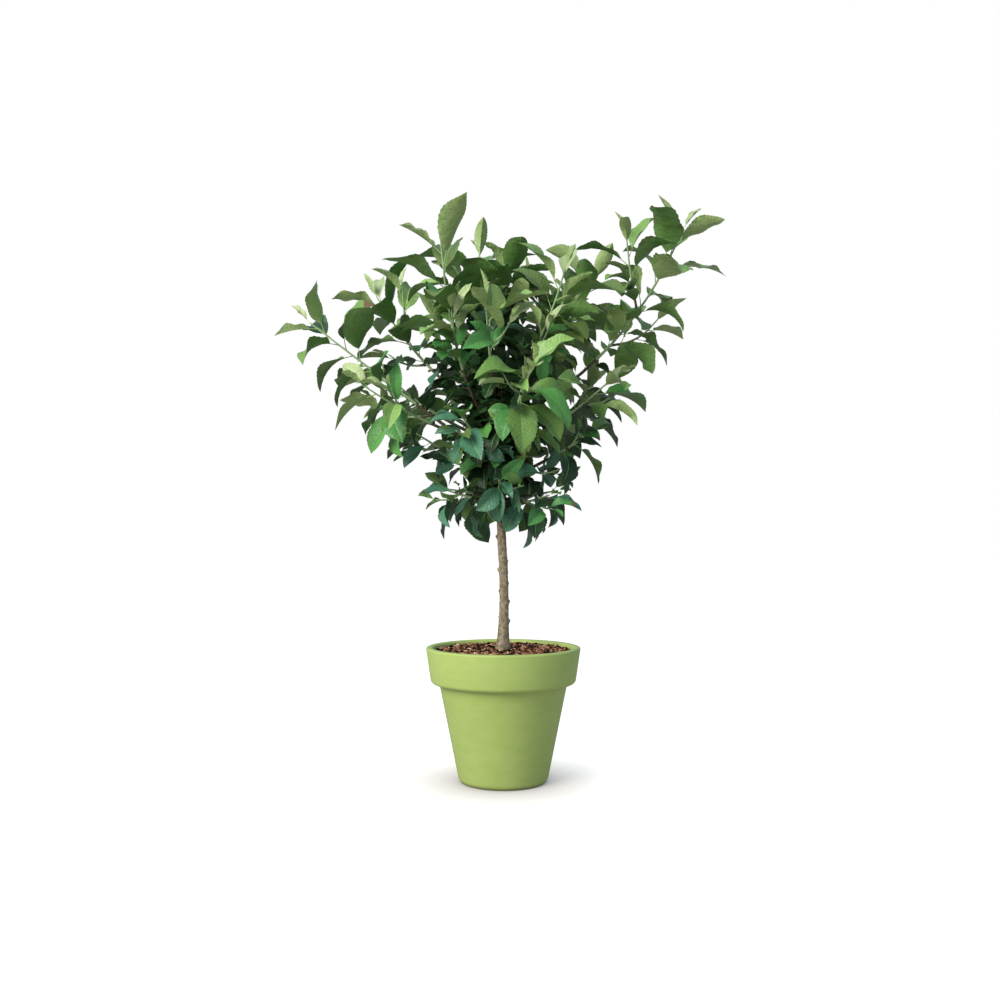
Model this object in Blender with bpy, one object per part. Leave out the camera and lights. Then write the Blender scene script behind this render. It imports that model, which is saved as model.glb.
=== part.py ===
"""A dwarf apple tree grown as a small standard in a round collared patio pot.

The pot, its fill, the trunk, each bough and each mass of leaves is one closed solid of its own.
Units are metres, Z is up, and the origin is the centre of the pot's flat underside.
"""

import math
import random
from collections import namedtuple

import bmesh
import bpy
from mathutils import Matrix, Vector
from mathutils.bvhtree import BVHTree
from mathutils.kdtree import KDTree

WORLD_UP = Vector((0.0, 0.0, 1.0))

# The clearance between pieces that rest on or in each other.
GAP = 0.0003

# Pot: a tapering body under a deep collar.
POT_HEIGHT = 0.2165
POT_SIDES = 40
RIM_RADIUS = 0.125
LIP_WIDTH = 0.0115
LIP_ROUND = 0.0035
COLLAR_DEPTH = 0.058
COLLAR_FOOT_RADIUS = 0.1165
COLLAR_ROUND = 0.006
NECK_RADIUS = 0.1035
FOOT_RADIUS = 0.0715
FOOT_ROUND = 0.008
INNER_FOOT_RADIUS = 0.0635
FLOOR_THICKNESS = 0.006

# Fill: compost under a coarse bark mulch, just below the lip. Its top is flat under the trunk.
FILL_DROP = 0.006
FILL_SIDES = 30
FILL_CLEARANCE = 0.0007
TRUNK_SEAT_RADIUS = 0.0163
MULCH_RINGS = 6
MULCH_RELIEF = 0.0035
MULCH_SEED = 7

# Trunk: (height above the mulch, radius), from the root flare to the foot of the leading shoot.
TRUNK_TAPER = (
    (0.000, 0.0125),
    (0.008, 0.0112),
    (0.022, 0.0096),
    (0.045, 0.0082),
    (0.080, 0.0073),
    (0.180, 0.0071),
    (0.245, 0.0066),
    (0.330, 0.0054),
    (0.439, 0.0032),
)
TRUNK_LENGTH = TRUNK_TAPER[-1][0]
TRUNK_FOOT = POT_HEIGHT - FILL_DROP + GAP
TRUNK_SIDES = 10
TRUNK_RINGS = 36
SWAY = 0.0012
SWAY_PERIOD = 0.22
SWAY_START = 0.027
LEAN = 0.035
LEAN_FROM = 0.140
KNOB_SIZE = 0.0022
KNOB_EVERY = 2
KNOBS_END = 0.205

# Limbs: a limb leaves the trunk at the height start, and the tip of its leading shoot stands at
# reach and height. bow is how far it runs outwards before it turns up. Its bare first stretch is the
# bough, and the rest leads a mass of leaves. twist is the side on which that mass's spiral begins.
Limb = namedtuple("Limb", "name start azimuth reach height bow bare side_shoots twist")
LIMBS = (
    Limb("skirt_front_right", 0.437, 312, 0.105, 0.458, 0.50, 0.034, 2, 67),
    Limb("skirt_back_left", 0.443, 150, 0.110, 0.472, 0.50, 0.034, 2, 134),
    Limb("skirt_back_right", 0.452, 35, 0.112, 0.472, 0.50, 0.034, 2, 201),
    Limb("skirt_left", 0.458, 213, 0.100, 0.468, 0.50, 0.034, 2, 268),
    Limb("low_back_left", 0.467, 122, 0.150, 0.555, 0.55, 0.042, 3, 335),
    Limb("skirt_front", 0.474, 266, 0.098, 0.480, 0.50, 0.034, 3, 42),
    Limb("low_right", 0.482, 345, 0.148, 0.560, 0.55, 0.042, 3, 109),
    Limb("low_left", 0.488, 188, 0.150, 0.565, 0.55, 0.042, 3, 176),
    Limb("low_back", 0.497, 76, 0.155, 0.575, 0.55, 0.042, 3, 243),
    Limb("far_left", 0.505, 184, 0.309, 0.735, 0.50, 0.065, 4, 355),
    Limb("mid_back_right", 0.512, 48, 0.235, 0.665, 0.60, 0.055, 3, 17),
    Limb("low_front", 0.520, 245, 0.150, 0.575, 0.60, 0.042, 3, 84),
    Limb("mid_right", 0.527, 336, 0.185, 0.640, 0.60, 0.055, 3, 151),
    Limb("mid_left", 0.533, 204, 0.235, 0.625, 0.60, 0.055, 3, 218),
    Limb("mid_back_left", 0.542, 146, 0.235, 0.670, 0.60, 0.055, 3, 285),
    Limb("mid_front", 0.548, 282, 0.195, 0.640, 0.62, 0.055, 3, 352),
    Limb("tall_left", 0.557, 231, 0.150, 0.838, 0.80, 0.060, 4, 289),
    Limb("mid_back", 0.563, 96, 0.235, 0.700, 0.60, 0.060, 3, 126),
    Limb("tall_right", 0.572, 350, 0.286, 0.876, 0.70, 0.070, 4, 175),
    Limb("upper_left", 0.579, 162, 0.225, 0.800, 0.62, 0.065, 4, 260),
    Limb("front", 0.588, 262, 0.185, 0.730, 0.64, 0.060, 3, 327),
    Limb("upper_back_right", 0.596, 58, 0.225, 0.790, 0.62, 0.065, 4, 34),
    Limb("upper_front", 0.606, 308, 0.150, 0.795, 0.66, 0.060, 3, 101),
    Limb("tall_back", 0.616, 112, 0.110, 0.880, 0.62, 0.060, 4, 168),
    Limb("upper_right", 0.627, 24, 0.175, 0.835, 0.62, 0.060, 3, 235),
)
# The trunk's own leading shoot, which has no bough.
LEADER = Limb("leader", TRUNK_FOOT + TRUNK_LENGTH, 40, 0.022, 0.815, 0.0, 0.0, 3, 302)

# Wood: boughs swell to a collar where they meet the trunk, and shoots thin out to their tips.
BOUGH_RADIUS = 0.0046
BOUGH_SHARE_OF_TRUNK = 0.75
BOUGH_COLLAR = 1.35
BOUGH_RINGS = 4
BOUGH_SIDES = 6
STEM_RADIUS = 0.0030
STEM_RINGS = 6
STEM_SIDES = 4
TWIG_RADIUS = 0.0022
TWIG_RINGS = 3
TWIG_SIDES = 3
TIP_RADIUS = 0.0014

# Side twigs leave the leading shoot in turn. FIRST and SPAN are shares of its length, and so is
# LENGTH, as (shortest, longest).
TWIG_FIRST = 0.06
TWIG_SPAN = 0.52
TWIG_TURN = math.radians(150)
TWIG_LENGTH = (0.34, 0.48)
TWIG_LENGTH_LOSS = 0.35
TWIG_SHORTEST = 0.045
TWIG_LONGEST = 0.115
TWIG_VIGOUR = 0.84

# Leaves go down each twig in a spiral. Pairs of angles are in degrees, for the leaf at the tip and
# for a full-grown one. HIGH is for masses in the top of the crown and LOW for those at its foot.
LEAF_TURN = math.radians(137.5)
HIGH_LEAF_PITCH = 0.0145
LOW_LEAF_PITCH = 0.0113
HIGH_LEAF_LENGTH = 0.118
LOW_LEAF_LENGTH = 0.080
HIGH_LEAF_LIFT = 0.16
LOW_LEAF_LIFT = -0.70
HIGH = 0.78
LOW = 0.50
FEWEST_LEAVES = 4
LEAVES_DOWN_TO = 0.93
LEAVES_TO_FULL_AGE = 5
LEAVES_TO_FULL_SIZE = 3.6
LEAVES_BEFORE_LOSS = 7
OLD_LEAF_LOSS = 0.25
SPREAD = (15, 65)
LOW_SPREAD = 20
ARCH = (10, 34)
FOLD = (38, 16)

# The blade: WIDEST and THICKEST are the places of its shoulders and its ridge along it.
LEAF_WIDTH = 0.44
WIDEST = 0.54
THICKEST = 0.34
THICKNESS = 0.028
RISE_OF_ARCH = 0.25
ROOT_DEPTH = 0.0005

# A leaf that finds no room is swung round its twig and shortened a little, up to this many times.
TRIES = 12
SWING = math.radians(24)
SHRINK = 0.04
SPACE_SAMPLES = 12
LIMB_CLEARANCE = 0.0010

# Each finish's sRGB colour and roughness.
FINISHES = {
    "pot_plastic": ("a9bf6c", 0.55),
    "mulch": ("5a4036", 0.95),
    "trunk_bark": ("8c7b62", 0.85),
    "bough_bark": ("4f4a38", 0.80),
    "foliage": ("2f6b2c", 0.50),
}

Twig = namedtuple("Twig", "points radii across sides vigour twist")
Leaf = namedtuple("Leaf", "root along face length width arch fold")


def linear(channel):
    """One sRGB channel as linear light."""
    return channel / 12.92 if channel <= 0.04045 else ((channel + 0.055) / 1.055) ** 2.4


def material(name):
    """The Principled material of one finish."""
    if name in bpy.data.materials:
        return bpy.data.materials[name]
    colour, roughness = FINISHES[name]
    made = bpy.data.materials.new(name)
    made.use_nodes = True
    shader = made.node_tree.nodes["Principled BSDF"]
    channels = [linear(int(colour[i : i + 2], 16) / 255) for i in (0, 2, 4)]
    shader.inputs["Base Color"].default_value = (*channels, 1)
    shader.inputs["Roughness"].default_value = roughness
    shader.inputs["Metallic"].default_value = 0.0
    return made


def solid(name, points, faces, finish):
    """An object with these points and faces, shaded smooth over its shallow edges."""
    mesh = bpy.data.meshes.new(name)
    mesh.from_pydata([tuple(point) for point in points], [], faces)
    mesh.materials.append(material(finish))
    mesh.shade_smooth()
    mesh.set_sharp_from_angle(angle=math.radians(35))
    obj = bpy.data.objects.new(name, mesh)
    bpy.context.scene.collection.objects.link(obj)
    return obj


def arc(centre, radius, start, end, steps):
    """Points (r, z) on a round stretch of a turned profile, angles in degrees."""
    turns = [math.radians(start + (end - start) * i / steps) for i in range(steps + 1)]
    return [(centre[0] + radius * math.cos(a), centre[1] + radius * math.sin(a)) for a in turns]


def round_faces(first, sides):
    """The faces between a ring of points and the next one, and so on for every ring given."""
    return [
        (ring + i, ring + (i + 1) % sides, ring + sides + (i + 1) % sides, ring + sides + i)
        for ring in first
        for i in range(sides)
    ]


def turned(profile, sides):
    """(points, faces) turned about Z from (r, z) points that start and end on the axis."""
    points = [Vector((0, 0, profile[0][1]))]
    for r, z in profile[1:-1]:
        turns = [2 * math.pi * i / sides for i in range(sides)]
        points += [Vector((r * math.cos(a), r * math.sin(a), z)) for a in turns]
    points.append(Vector((0, 0, profile[-1][1])))
    top = len(points) - 1
    rim = top - sides
    faces = [(0, 1 + (i + 1) % sides, 1 + i) for i in range(sides)]
    faces += round_faces(range(1, rim, sides), sides)
    faces += [(top, rim + i, rim + (i + 1) % sides) for i in range(sides)]
    return points, faces


def inner_radius(z):
    """The pot's inner wall, a plain cone."""
    share = (z - FLOOR_THICKNESS) / (POT_HEIGHT - FLOOR_THICKNESS)
    return INNER_FOOT_RADIUS + (RIM_RADIUS - LIP_WIDTH - INNER_FOOT_RADIUS) * share


def make_pot():
    """The moulded pot: a rounded foot, a tapering wall, a deep collar and a rounded lip."""
    collar_foot = POT_HEIGHT - COLLAR_DEPTH
    foot = (FOOT_RADIUS - FOOT_ROUND, FOOT_ROUND)
    heel = (COLLAR_FOOT_RADIUS - COLLAR_ROUND, collar_foot + COLLAR_ROUND)
    lip_out = (RIM_RADIUS - LIP_ROUND, POT_HEIGHT - LIP_ROUND)
    lip_in = (RIM_RADIUS - LIP_WIDTH + LIP_ROUND, POT_HEIGHT - LIP_ROUND)
    profile = [(0, 0)]
    profile += arc(foot, FOOT_ROUND, -90, -12, 3)
    profile += [(NECK_RADIUS, collar_foot)]
    profile += arc(heel, COLLAR_ROUND, -90, 0, 2)
    profile += arc(lip_out, LIP_ROUND, 0, 90, 2)
    profile += arc(lip_in, LIP_ROUND, 90, 180, 2)
    profile += [(INNER_FOOT_RADIUS, FLOOR_THICKNESS), (0, FLOOR_THICKNESS)]
    solid("pot", *turned(profile, POT_SIDES), "pot_plastic")


def make_fill():
    """Compost out to the pot's wall, under a rough mulch."""
    top = POT_HEIGHT - FILL_DROP
    floor = FLOOR_THICKNESS + GAP
    outer = inner_radius(top) - FILL_CLEARANCE
    step = (outer - TRUNK_SEAT_RADIUS) / MULCH_RINGS
    profile = [(0, floor), (inner_radius(floor) - FILL_CLEARANCE, floor)]
    profile += [(outer - step * k, top) for k in range(MULCH_RINGS + 1)] + [(0, top)]
    points, faces = turned(profile, FILL_SIDES)
    rng = random.Random(MULCH_SEED)
    rough = points[1 + FILL_SIDES : -1 - FILL_SIDES]
    for point in rough:
        point.z -= MULCH_RELIEF * rng.random()
    corners = [face[:3] for face in faces] + [(f[0], f[2], f[3]) for f in faces if len(f) == 4]
    solid("mulch_fill", points, corners, "mulch")


def trunk_axis(z):
    """The trunk's centre at a height: a slight sway, and a lean from part way up."""
    up = z - TRUNK_FOOT
    turn = 2 * math.pi * (up - SWAY_START) / SWAY_PERIOD
    lean = LEAN * max(0.0, up - LEAN_FROM)
    return Vector((SWAY * math.sin(turn) - lean, SWAY * math.cos(turn), z))


def trunk_radius(z):
    """The trunk's radius at a height."""
    up = z - TRUNK_FOOT
    for (low, wide), (high, narrow) in zip(TRUNK_TAPER, TRUNK_TAPER[1:]):
        if up <= high:
            return wide + (narrow - wide) * (up - low) / (high - low)
    return TRUNK_TAPER[-1][1]


def directions(points):
    """The direction of a smooth line at each of its evenly spaced points."""
    inner = [after - before for before, after in zip(points, points[2:])]
    first = points[1] * 4 - points[0] * 3 - points[2]
    last = points[-1] * 3 - points[-2] * 4 + points[-3]
    return [way.normalized() for way in (first, *inner, last)]


def tube(points, radii, across, sides):
    """(points, faces) of a closed tapering limb, whose rings are square to its line."""
    skin = []
    for centre, way, radius in zip(points, directions(points), radii):
        first = (across - way * across.dot(way)).normalized()
        second = way.cross(first)
        for i in range(sides):
            turn = 2 * math.pi * i / sides
            skin.append(centre + (first * math.cos(turn) + second * math.sin(turn)) * radius)
    last = len(skin) - sides
    faces = [tuple(reversed(range(sides)))]
    faces += round_faces(range(0, last, sides), sides)
    faces.append(tuple(range(last, len(skin))))
    return skin, faces


def trunk_shape(swell=0.0):
    """(points, faces) of the trunk, level at both ends. swell is how far its skin is grown."""
    heights = [TRUNK_FOOT + TRUNK_LENGTH * k / TRUNK_RINGS for k in range(TRUNK_RINGS + 1)]
    centres = [trunk_axis(z) for z in heights]
    radii = [trunk_radius(z) + swell for z in heights]
    points, faces = tube(centres, radii, Vector((1, 0, 0)), TRUNK_SIDES)
    for i in range(TRUNK_SIDES):
        points[i].z = heights[0]
        points[-1 - i].z = heights[-1]
    return points, faces


def make_trunk():
    """The trunk, with the knobs of rubbed-off buds on its right and left in turn."""
    points, faces = trunk_shape()
    last_knob = round(TRUNK_RINGS * KNOBS_END / TRUNK_LENGTH)
    for number, ring in enumerate(range(KNOB_EVERY, last_knob + 1, KNOB_EVERY)):
        if number % 2:
            points[ring * TRUNK_SIDES].x += KNOB_SIZE
        else:
            points[ring * TRUNK_SIDES + TRUNK_SIDES // 2].x -= KNOB_SIZE
    solid("trunk", points, faces, "trunk_bark")


def make_trunk_clearance():
    """The cutter that keeps the boughs clear of the trunk."""
    cutter = solid("trunk_clearance", *trunk_shape(swell=GAP), "trunk_bark")
    cutter.hide_render = True
    cutter.display_type = "WIRE"
    return cutter


def bend(start, knee, end, share):
    """A point of the curve from start to end that heads for knee first."""
    return start * (1 - share) ** 2 + knee * 2 * share * (1 - share) + end * share**2


def limb_point(limb, share):
    """A point of a limb, from the trunk's axis to the tip of its leading shoot."""
    turn = math.radians(limb.azimuth)
    tip = Vector((math.cos(turn), math.sin(turn), 0.0)) * limb.reach + WORLD_UP * limb.height
    start = trunk_axis(limb.start)
    way = tip - start
    knee = start + Vector((way.x, way.y, 0.0)) * limb.bow + WORLD_UP * way.z * (1 - limb.bow)
    return bend(start, knee, tip, share)


def line_length(points):
    """The length of a line through these points."""
    return sum((after - before).length for before, after in zip(points, points[1:]))


def limb_share(limb, distance):
    """The share of a limb's curve that lies this far along it from the trunk's axis."""
    low, high = 0.0, 1.0
    for _ in range(24):
        middle = (low + high) / 2
        if line_length([limb_point(limb, middle * k / 24) for k in range(25)]) < distance:
            low = middle
        else:
            high = middle
    return (low + high) / 2


def limb_across(limb):
    """The level direction square to a limb."""
    turn = math.radians(limb.azimuth)
    return Vector((-math.sin(turn), math.cos(turn), 0.0))


def tapered(wide, narrow, rings):
    """Radii that fall evenly from one to the other."""
    return [wide + (narrow - wide) * k / rings for k in range(rings + 1)]


def bough_line(limb):
    """(points, radii) of a bough, which tapers from a swollen collar at the trunk."""
    end = limb_share(limb, limb.bare)
    points = [limb_point(limb, end * k / BOUGH_RINGS) for k in range(BOUGH_RINGS + 1)]
    root = min(BOUGH_RADIUS, BOUGH_SHARE_OF_TRUNK * trunk_radius(limb.start))
    radii = tapered(root, STEM_RADIUS, BOUGH_RINGS)
    radii[1] *= BOUGH_COLLAR
    return points, radii


def make_bough(limb, trunk_clearance):
    """The bare first stretch of a limb, cut clear of the trunk."""
    shape = tube(*bough_line(limb), limb_across(limb), BOUGH_SIDES)
    bough = solid(f"bough_{limb.name}", *shape, "bough_bark")
    cut = bough.modifiers.new("clear_of_trunk", "BOOLEAN")
    cut.operation = "DIFFERENCE"
    cut.solver = "EXACT"
    cut.object = trunk_clearance


def leading_shoot(limb):
    """The leading shoot of a mass, which goes on from its bough's tip or from the trunk's."""
    begin = limb_share(limb, limb.bare + GAP)
    points = [limb_point(limb, begin + (1 - begin) * k / STEM_RINGS) for k in range(STEM_RINGS + 1)]
    radii = tapered(STEM_RADIUS, TIP_RADIUS, STEM_RINGS)
    return Twig(points, radii, limb_across(limb), STEM_SIDES, 1.0, math.radians(limb.twist))


def point_on(twig, share):
    """(place, direction) at a share of a twig's length."""
    position = min(share * (len(twig.points) - 1), len(twig.points) - 1.001)
    k = int(position)
    before, after = twig.points[k], twig.points[k + 1]
    return before.lerp(after, position - k), (after - before).normalized()


def side_twigs(limb, leader, rng):
    """Side twigs that leave the leading shoot in turn and curve up towards the light."""
    twigs = []
    turn = rng.uniform(0, 2 * math.pi)
    for k in range(limb.side_shoots):
        share = TWIG_FIRST + TWIG_SPAN * k / (limb.side_shoots - 1) + rng.uniform(-0.03, 0.03)
        base, heading = point_on(leader, share)
        turn += TWIG_TURN + rng.uniform(-0.4, 0.4)
        side = Matrix.Rotation(turn, 3, heading) @ leader.across
        length = line_length(leader.points) * rng.uniform(*TWIG_LENGTH) * (1 - TWIG_LENGTH_LOSS * share)
        length = min(max(length, TWIG_SHORTEST), TWIG_LONGEST)
        aim = (heading * 0.55 + side * 0.85 + WORLD_UP * 0.10).normalized()
        knee = base + aim * length * 0.55
        tip = base + (aim * 0.9 + WORLD_UP * 0.35).normalized() * length
        points = [bend(base, knee, tip, k / TWIG_RINGS) for k in range(TWIG_RINGS + 1)]
        radii = tapered(TWIG_RADIUS, TIP_RADIUS, TWIG_RINGS)
        across = aim.cross(WORLD_UP).normalized()
        twist = rng.uniform(0, 2 * math.pi)
        twigs.append(Twig(points, radii, across, TWIG_SIDES, TWIG_VIGOUR, twist))
    return twigs


def mix(high, low, share):
    """The value this share of the way from one to the other."""
    return high + (low - high) * share


def leaves_on(twig, lowness, rng):
    """Leaves in a spiral down a twig. lowness is 0 at the top of the crown and 1 at its foot."""
    pitch = mix(HIGH_LEAF_PITCH, LOW_LEAF_PITCH, lowness)
    full_length = mix(HIGH_LEAF_LENGTH, LOW_LEAF_LENGTH, lowness) * twig.vigour
    lift = mix(HIGH_LEAF_LIFT, LOW_LEAF_LIFT, lowness)
    count = max(FEWEST_LEAVES, round(line_length(twig.points) / pitch))
    turn = twig.twist
    leaves = []
    for k in range(count):
        age = min(1.0, k / LEAVES_TO_FULL_AGE)
        turn += LEAF_TURN + rng.uniform(-0.15, 0.15)
        root, heading = point_on(twig, 1.0 - LEAVES_DOWN_TO * (k / (count - 1)) ** 0.95)
        side = Matrix.Rotation(turn, 3, heading) @ twig.across
        spread = mix(*SPREAD, age**0.45) + rng.uniform(-9, 9) + LOW_SPREAD * lowness * age
        along = heading * math.cos(math.radians(spread)) + side * math.sin(math.radians(spread))
        along = (along + WORLD_UP * lift * age).normalized()
        face = heading * 0.75 + WORLD_UP * 0.65 - side * 0.15 * (1 - age)
        face = (face - along * face.dot(along)).normalized()
        grown = math.sin(math.pi / 2 * min(1.0, (k + 1) / LEAVES_TO_FULL_SIZE))
        loss = OLD_LEAF_LOSS * max(0, k - LEAVES_BEFORE_LOSS) / LEAVES_BEFORE_LOSS
        length = full_length * grown * (1 - loss) * rng.uniform(0.82, 1.10)
        width = length * LEAF_WIDTH * (0.80 + 0.25 * age) * rng.uniform(0.9, 1.1)
        arch = math.radians(mix(*ARCH, age) + rng.uniform(-10, 12))
        fold = math.radians(mix(*FOLD, age) + rng.uniform(-8, 8))
        leaves.append(Leaf(root, along, face, length, width, arch, fold))
    return leaves


def leaf_shape(leaf):
    """(points, faces) of a blade folded along its rib and arched over, from its root to its tip."""
    rise = leaf.arch * RISE_OF_ARCH
    upward = leaf.along * math.cos(rise) + leaf.face * math.sin(rise)
    ahead = leaf.along * math.cos(leaf.arch) - leaf.face * math.sin(leaf.arch)
    rib = leaf.root + upward * (leaf.length * THICKEST)
    middle = leaf.root + upward * (leaf.length * WIDEST)
    tip = middle + ahead * (leaf.length * (1 - WIDEST))
    half = leaf.face * (leaf.length * THICKNESS / 2)
    wing = leaf.along.cross(leaf.face) * (leaf.width / 2 * math.cos(leaf.fold))
    lift = leaf.face * (leaf.width / 2 * math.sin(leaf.fold))
    root = leaf.root - leaf.along * ROOT_DEPTH
    points = [root, middle + wing + lift, middle - wing + lift, rib + half, rib - half, tip]
    faces = [
        (0, 1, 3),
        (0, 3, 2),
        (0, 4, 1),
        (0, 2, 4),
        (5, 3, 1),
        (5, 2, 3),
        (5, 1, 4),
        (5, 4, 2),
    ]
    return points, faces


def swung(leaf, heading, attempt):
    """A leaf swung round its twig, to one side and the other in turn, and a little smaller."""
    swing = Matrix.Rotation(SWING * ((attempt + 1) // 2) * (-1) ** attempt, 3, heading)
    size = 1.0 - SHRINK * attempt
    return leaf._replace(
        along=swing @ leaf.along,
        face=swing @ leaf.face,
        length=leaf.length * size,
        width=leaf.width * size,
    )


class Space:
    """The room each mass has to itself: what lies nearer to its own twigs than to any other's."""

    def __init__(self, crown):
        """crown holds the twigs of each limb's mass."""
        places = [
            (point_on(twig, k / SPACE_SAMPLES)[0], limb)
            for limb, twigs in crown.items()
            for twig in twigs
            for k in range(SPACE_SAMPLES + 1)
        ]
        self.owners = [limb for _, limb in places]
        self.twigs = KDTree(len(places))
        for number, (place, _) in enumerate(places):
            self.twigs.insert(place, number)
        self.twigs.balance()

    def holds(self, points, limb):
        """True if all these points lie in the room of this limb's mass."""
        return all(self.owners[self.twigs.find(point)[1]] is limb for point in points)


def round_about(points):
    """(middle, radius) of a ball that holds these points."""
    middle = sum(points, Vector()) / len(points)
    return middle, max((point - middle).length for point in points)


class Placed:
    """What stands in the crown already, kept so that nothing new touches it."""

    def __init__(self):
        """Nothing stands there yet."""
        self.shapes = []

    def add(self, points, faces, twig=None):
        """Keeps a shape, with the twig that it is, if it is one."""
        self.shapes.append((*round_about(points), BVHTree.FromPolygons(points, faces), twig))

    def touches(self, points, faces, own_twig=None):
        """True if a shape touches anything but the twig that it grows on."""
        middle, radius = round_about(points)
        tree = BVHTree.FromPolygons(points, faces)
        return any(
            (middle - other).length < radius + reach and tree.overlap(shape)
            for other, reach, shape, twig in self.shapes
            if own_twig is None or twig is not own_twig
        )


def wide_tube(points, radii, across, sides):
    """(points, faces) of a limb with room around it."""
    return tube(points, [radius + LIMB_CLEARANCE for radius in radii], across, sides)


def placed_limbs():
    """The trunk and the boughs, with room around them."""
    placed = Placed()
    placed.add(*trunk_shape(swell=LIMB_CLEARANCE))
    for limb in LIMBS:
        placed.add(*wide_tube(*bough_line(limb), limb_across(limb), BOUGH_SIDES))
    return placed


def grow_twigs(limb, leader, space, placed):
    """The leading shoot of a mass and those of its side twigs that find room."""
    rng = random.Random(limb.name)
    twigs = [leader]
    for twig in side_twigs(limb, leader, rng):
        shape = wide_tube(twig.points, twig.radii, twig.across, twig.sides)
        if space.holds(twig.points[1:], limb) and not placed.touches(*shape):
            twigs.append(twig)
    return twigs


def grow_leaves(limb, twigs, space, placed):
    """The leaves of a mass, without those that would leave its space or touch anything."""
    rng = random.Random(f"{limb.name} leaves")
    lowness = min(1.0, max(0.0, (HIGH - limb.height) / (HIGH - LOW)))
    shapes = []
    for twig in twigs:
        heading = point_on(twig, 0.5)[1]
        for leaf in leaves_on(twig, lowness, rng):
            for attempt in range(TRIES):
                shape = leaf_shape(swung(leaf, heading, attempt))
                if space.holds(shape[0][1:], limb) and not placed.touches(*shape, twig):
                    shapes.append(shape)
                    placed.add(*shape)
                    break
    return shapes


def drop_scraps(mesh):
    """Keeps the largest connected piece of a mesh."""
    shape = bmesh.new()
    shape.from_mesh(mesh)
    left = set(shape.verts)
    islands = []
    while left:
        front = [left.pop()]
        island = set(front)
        while front:
            near = {edge.other_vert(vert) for vert in front for edge in vert.link_edges} & left
            left -= near
            island |= near
            front = list(near)
        islands.append(island)
    largest = max(islands, key=len)
    scraps = [vert for vert in shape.verts if vert not in largest]
    bmesh.ops.delete(shape, geom=scraps, context="VERTS")
    shape.to_mesh(mesh)
    shape.free()


def make_mass(name, twigs, leaves):
    """One closed solid of a mass: the union of its leading shoot with its side twigs and leaves."""
    leader, *others = [tube(t.points, t.radii, t.across, t.sides) for t in twigs] + leaves
    mass = solid(name, *leader, "foliage")
    store = bpy.data.collections.new(f"{name}_pieces")
    bpy.context.scene.collection.children.link(store)
    for number, shape in enumerate(others):
        piece = solid(f"{name}_piece_{number}", *shape, "foliage")
        bpy.context.scene.collection.objects.unlink(piece)
        store.objects.link(piece)
    union = mass.modifiers.new("fuse", "BOOLEAN")
    union.operation = "UNION"
    union.operand_type = "COLLECTION"
    union.solver = "EXACT"
    union.collection = store
    graph = bpy.context.evaluated_depsgraph_get()
    fused = bpy.data.meshes.new_from_object(mass.evaluated_get(graph))
    mass.modifiers.clear()
    mass.data = fused
    for piece in list(store.objects):
        bpy.data.objects.remove(piece)
    bpy.data.collections.remove(store)
    drop_scraps(fused)


def make_tree():
    """The trunk, the boughs and the masses of leaves."""
    make_trunk()
    trunk_clearance = make_trunk_clearance()
    for limb in LIMBS:
        make_bough(limb, trunk_clearance)
    placed = placed_limbs()
    leaders = {limb: leading_shoot(limb) for limb in LIMBS + (LEADER,)}
    space = Space({limb: [leader] for limb, leader in leaders.items()})
    crown = {limb: grow_twigs(limb, leader, space, placed) for limb, leader in leaders.items()}
    for twigs in crown.values():
        for twig in twigs:
            placed.add(*wide_tube(twig.points, twig.radii, twig.across, twig.sides), twig)
    space = Space(crown)
    for limb, twigs in crown.items():
        leaves = grow_leaves(limb, twigs, space, placed)
        make_mass(f"leaves_{limb.name}", twigs, leaves)
        print(f"leaves_{limb.name}: {len(twigs)} twigs, {len(leaves)} leaves")


for leftover in list(bpy.data.objects):
    bpy.data.objects.remove(leftover)
make_pot()
make_fill()
make_tree()
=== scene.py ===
"""The looks of a dwarf apple tree that stands as a small standard in a round collared patio pot.

The tree grows from the same named limbs, by the same seeded rule, as the solids that it replaces,
and is carried on to spurs, stalks and veined leaves. Units are metres and Z is up.
"""

import math
import random
from collections import namedtuple
from functools import cache

import bmesh
import bpy
import numpy as np
from bpy.props import FloatProperty, FloatVectorProperty, IntProperty, PointerProperty
from mathutils import Matrix, Vector, noise
from mathutils.bvhtree import BVHTree
from mathutils.kdtree import KDTree


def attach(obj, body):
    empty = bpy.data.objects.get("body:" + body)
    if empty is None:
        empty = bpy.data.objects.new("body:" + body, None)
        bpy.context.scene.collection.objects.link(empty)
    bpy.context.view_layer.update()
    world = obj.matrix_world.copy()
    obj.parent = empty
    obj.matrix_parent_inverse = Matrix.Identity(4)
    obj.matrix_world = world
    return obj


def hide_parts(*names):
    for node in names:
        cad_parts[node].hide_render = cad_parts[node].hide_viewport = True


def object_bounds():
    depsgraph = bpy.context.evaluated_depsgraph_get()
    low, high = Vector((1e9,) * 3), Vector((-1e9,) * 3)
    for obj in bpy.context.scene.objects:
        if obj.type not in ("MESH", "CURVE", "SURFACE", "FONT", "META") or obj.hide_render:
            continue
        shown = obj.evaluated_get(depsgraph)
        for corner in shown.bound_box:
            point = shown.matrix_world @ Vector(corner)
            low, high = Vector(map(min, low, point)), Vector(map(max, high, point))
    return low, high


bl_info = {
    "name": "Potted dwarf apple tree",
    "version": (1, 0, 0),
    "blender": (4, 5, 0),
    "location": "View3D > Sidebar > Patio tree",
    "description": "Builds a potted dwarf apple tree around its packed solids",
    "category": "Add Mesh",
}

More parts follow.
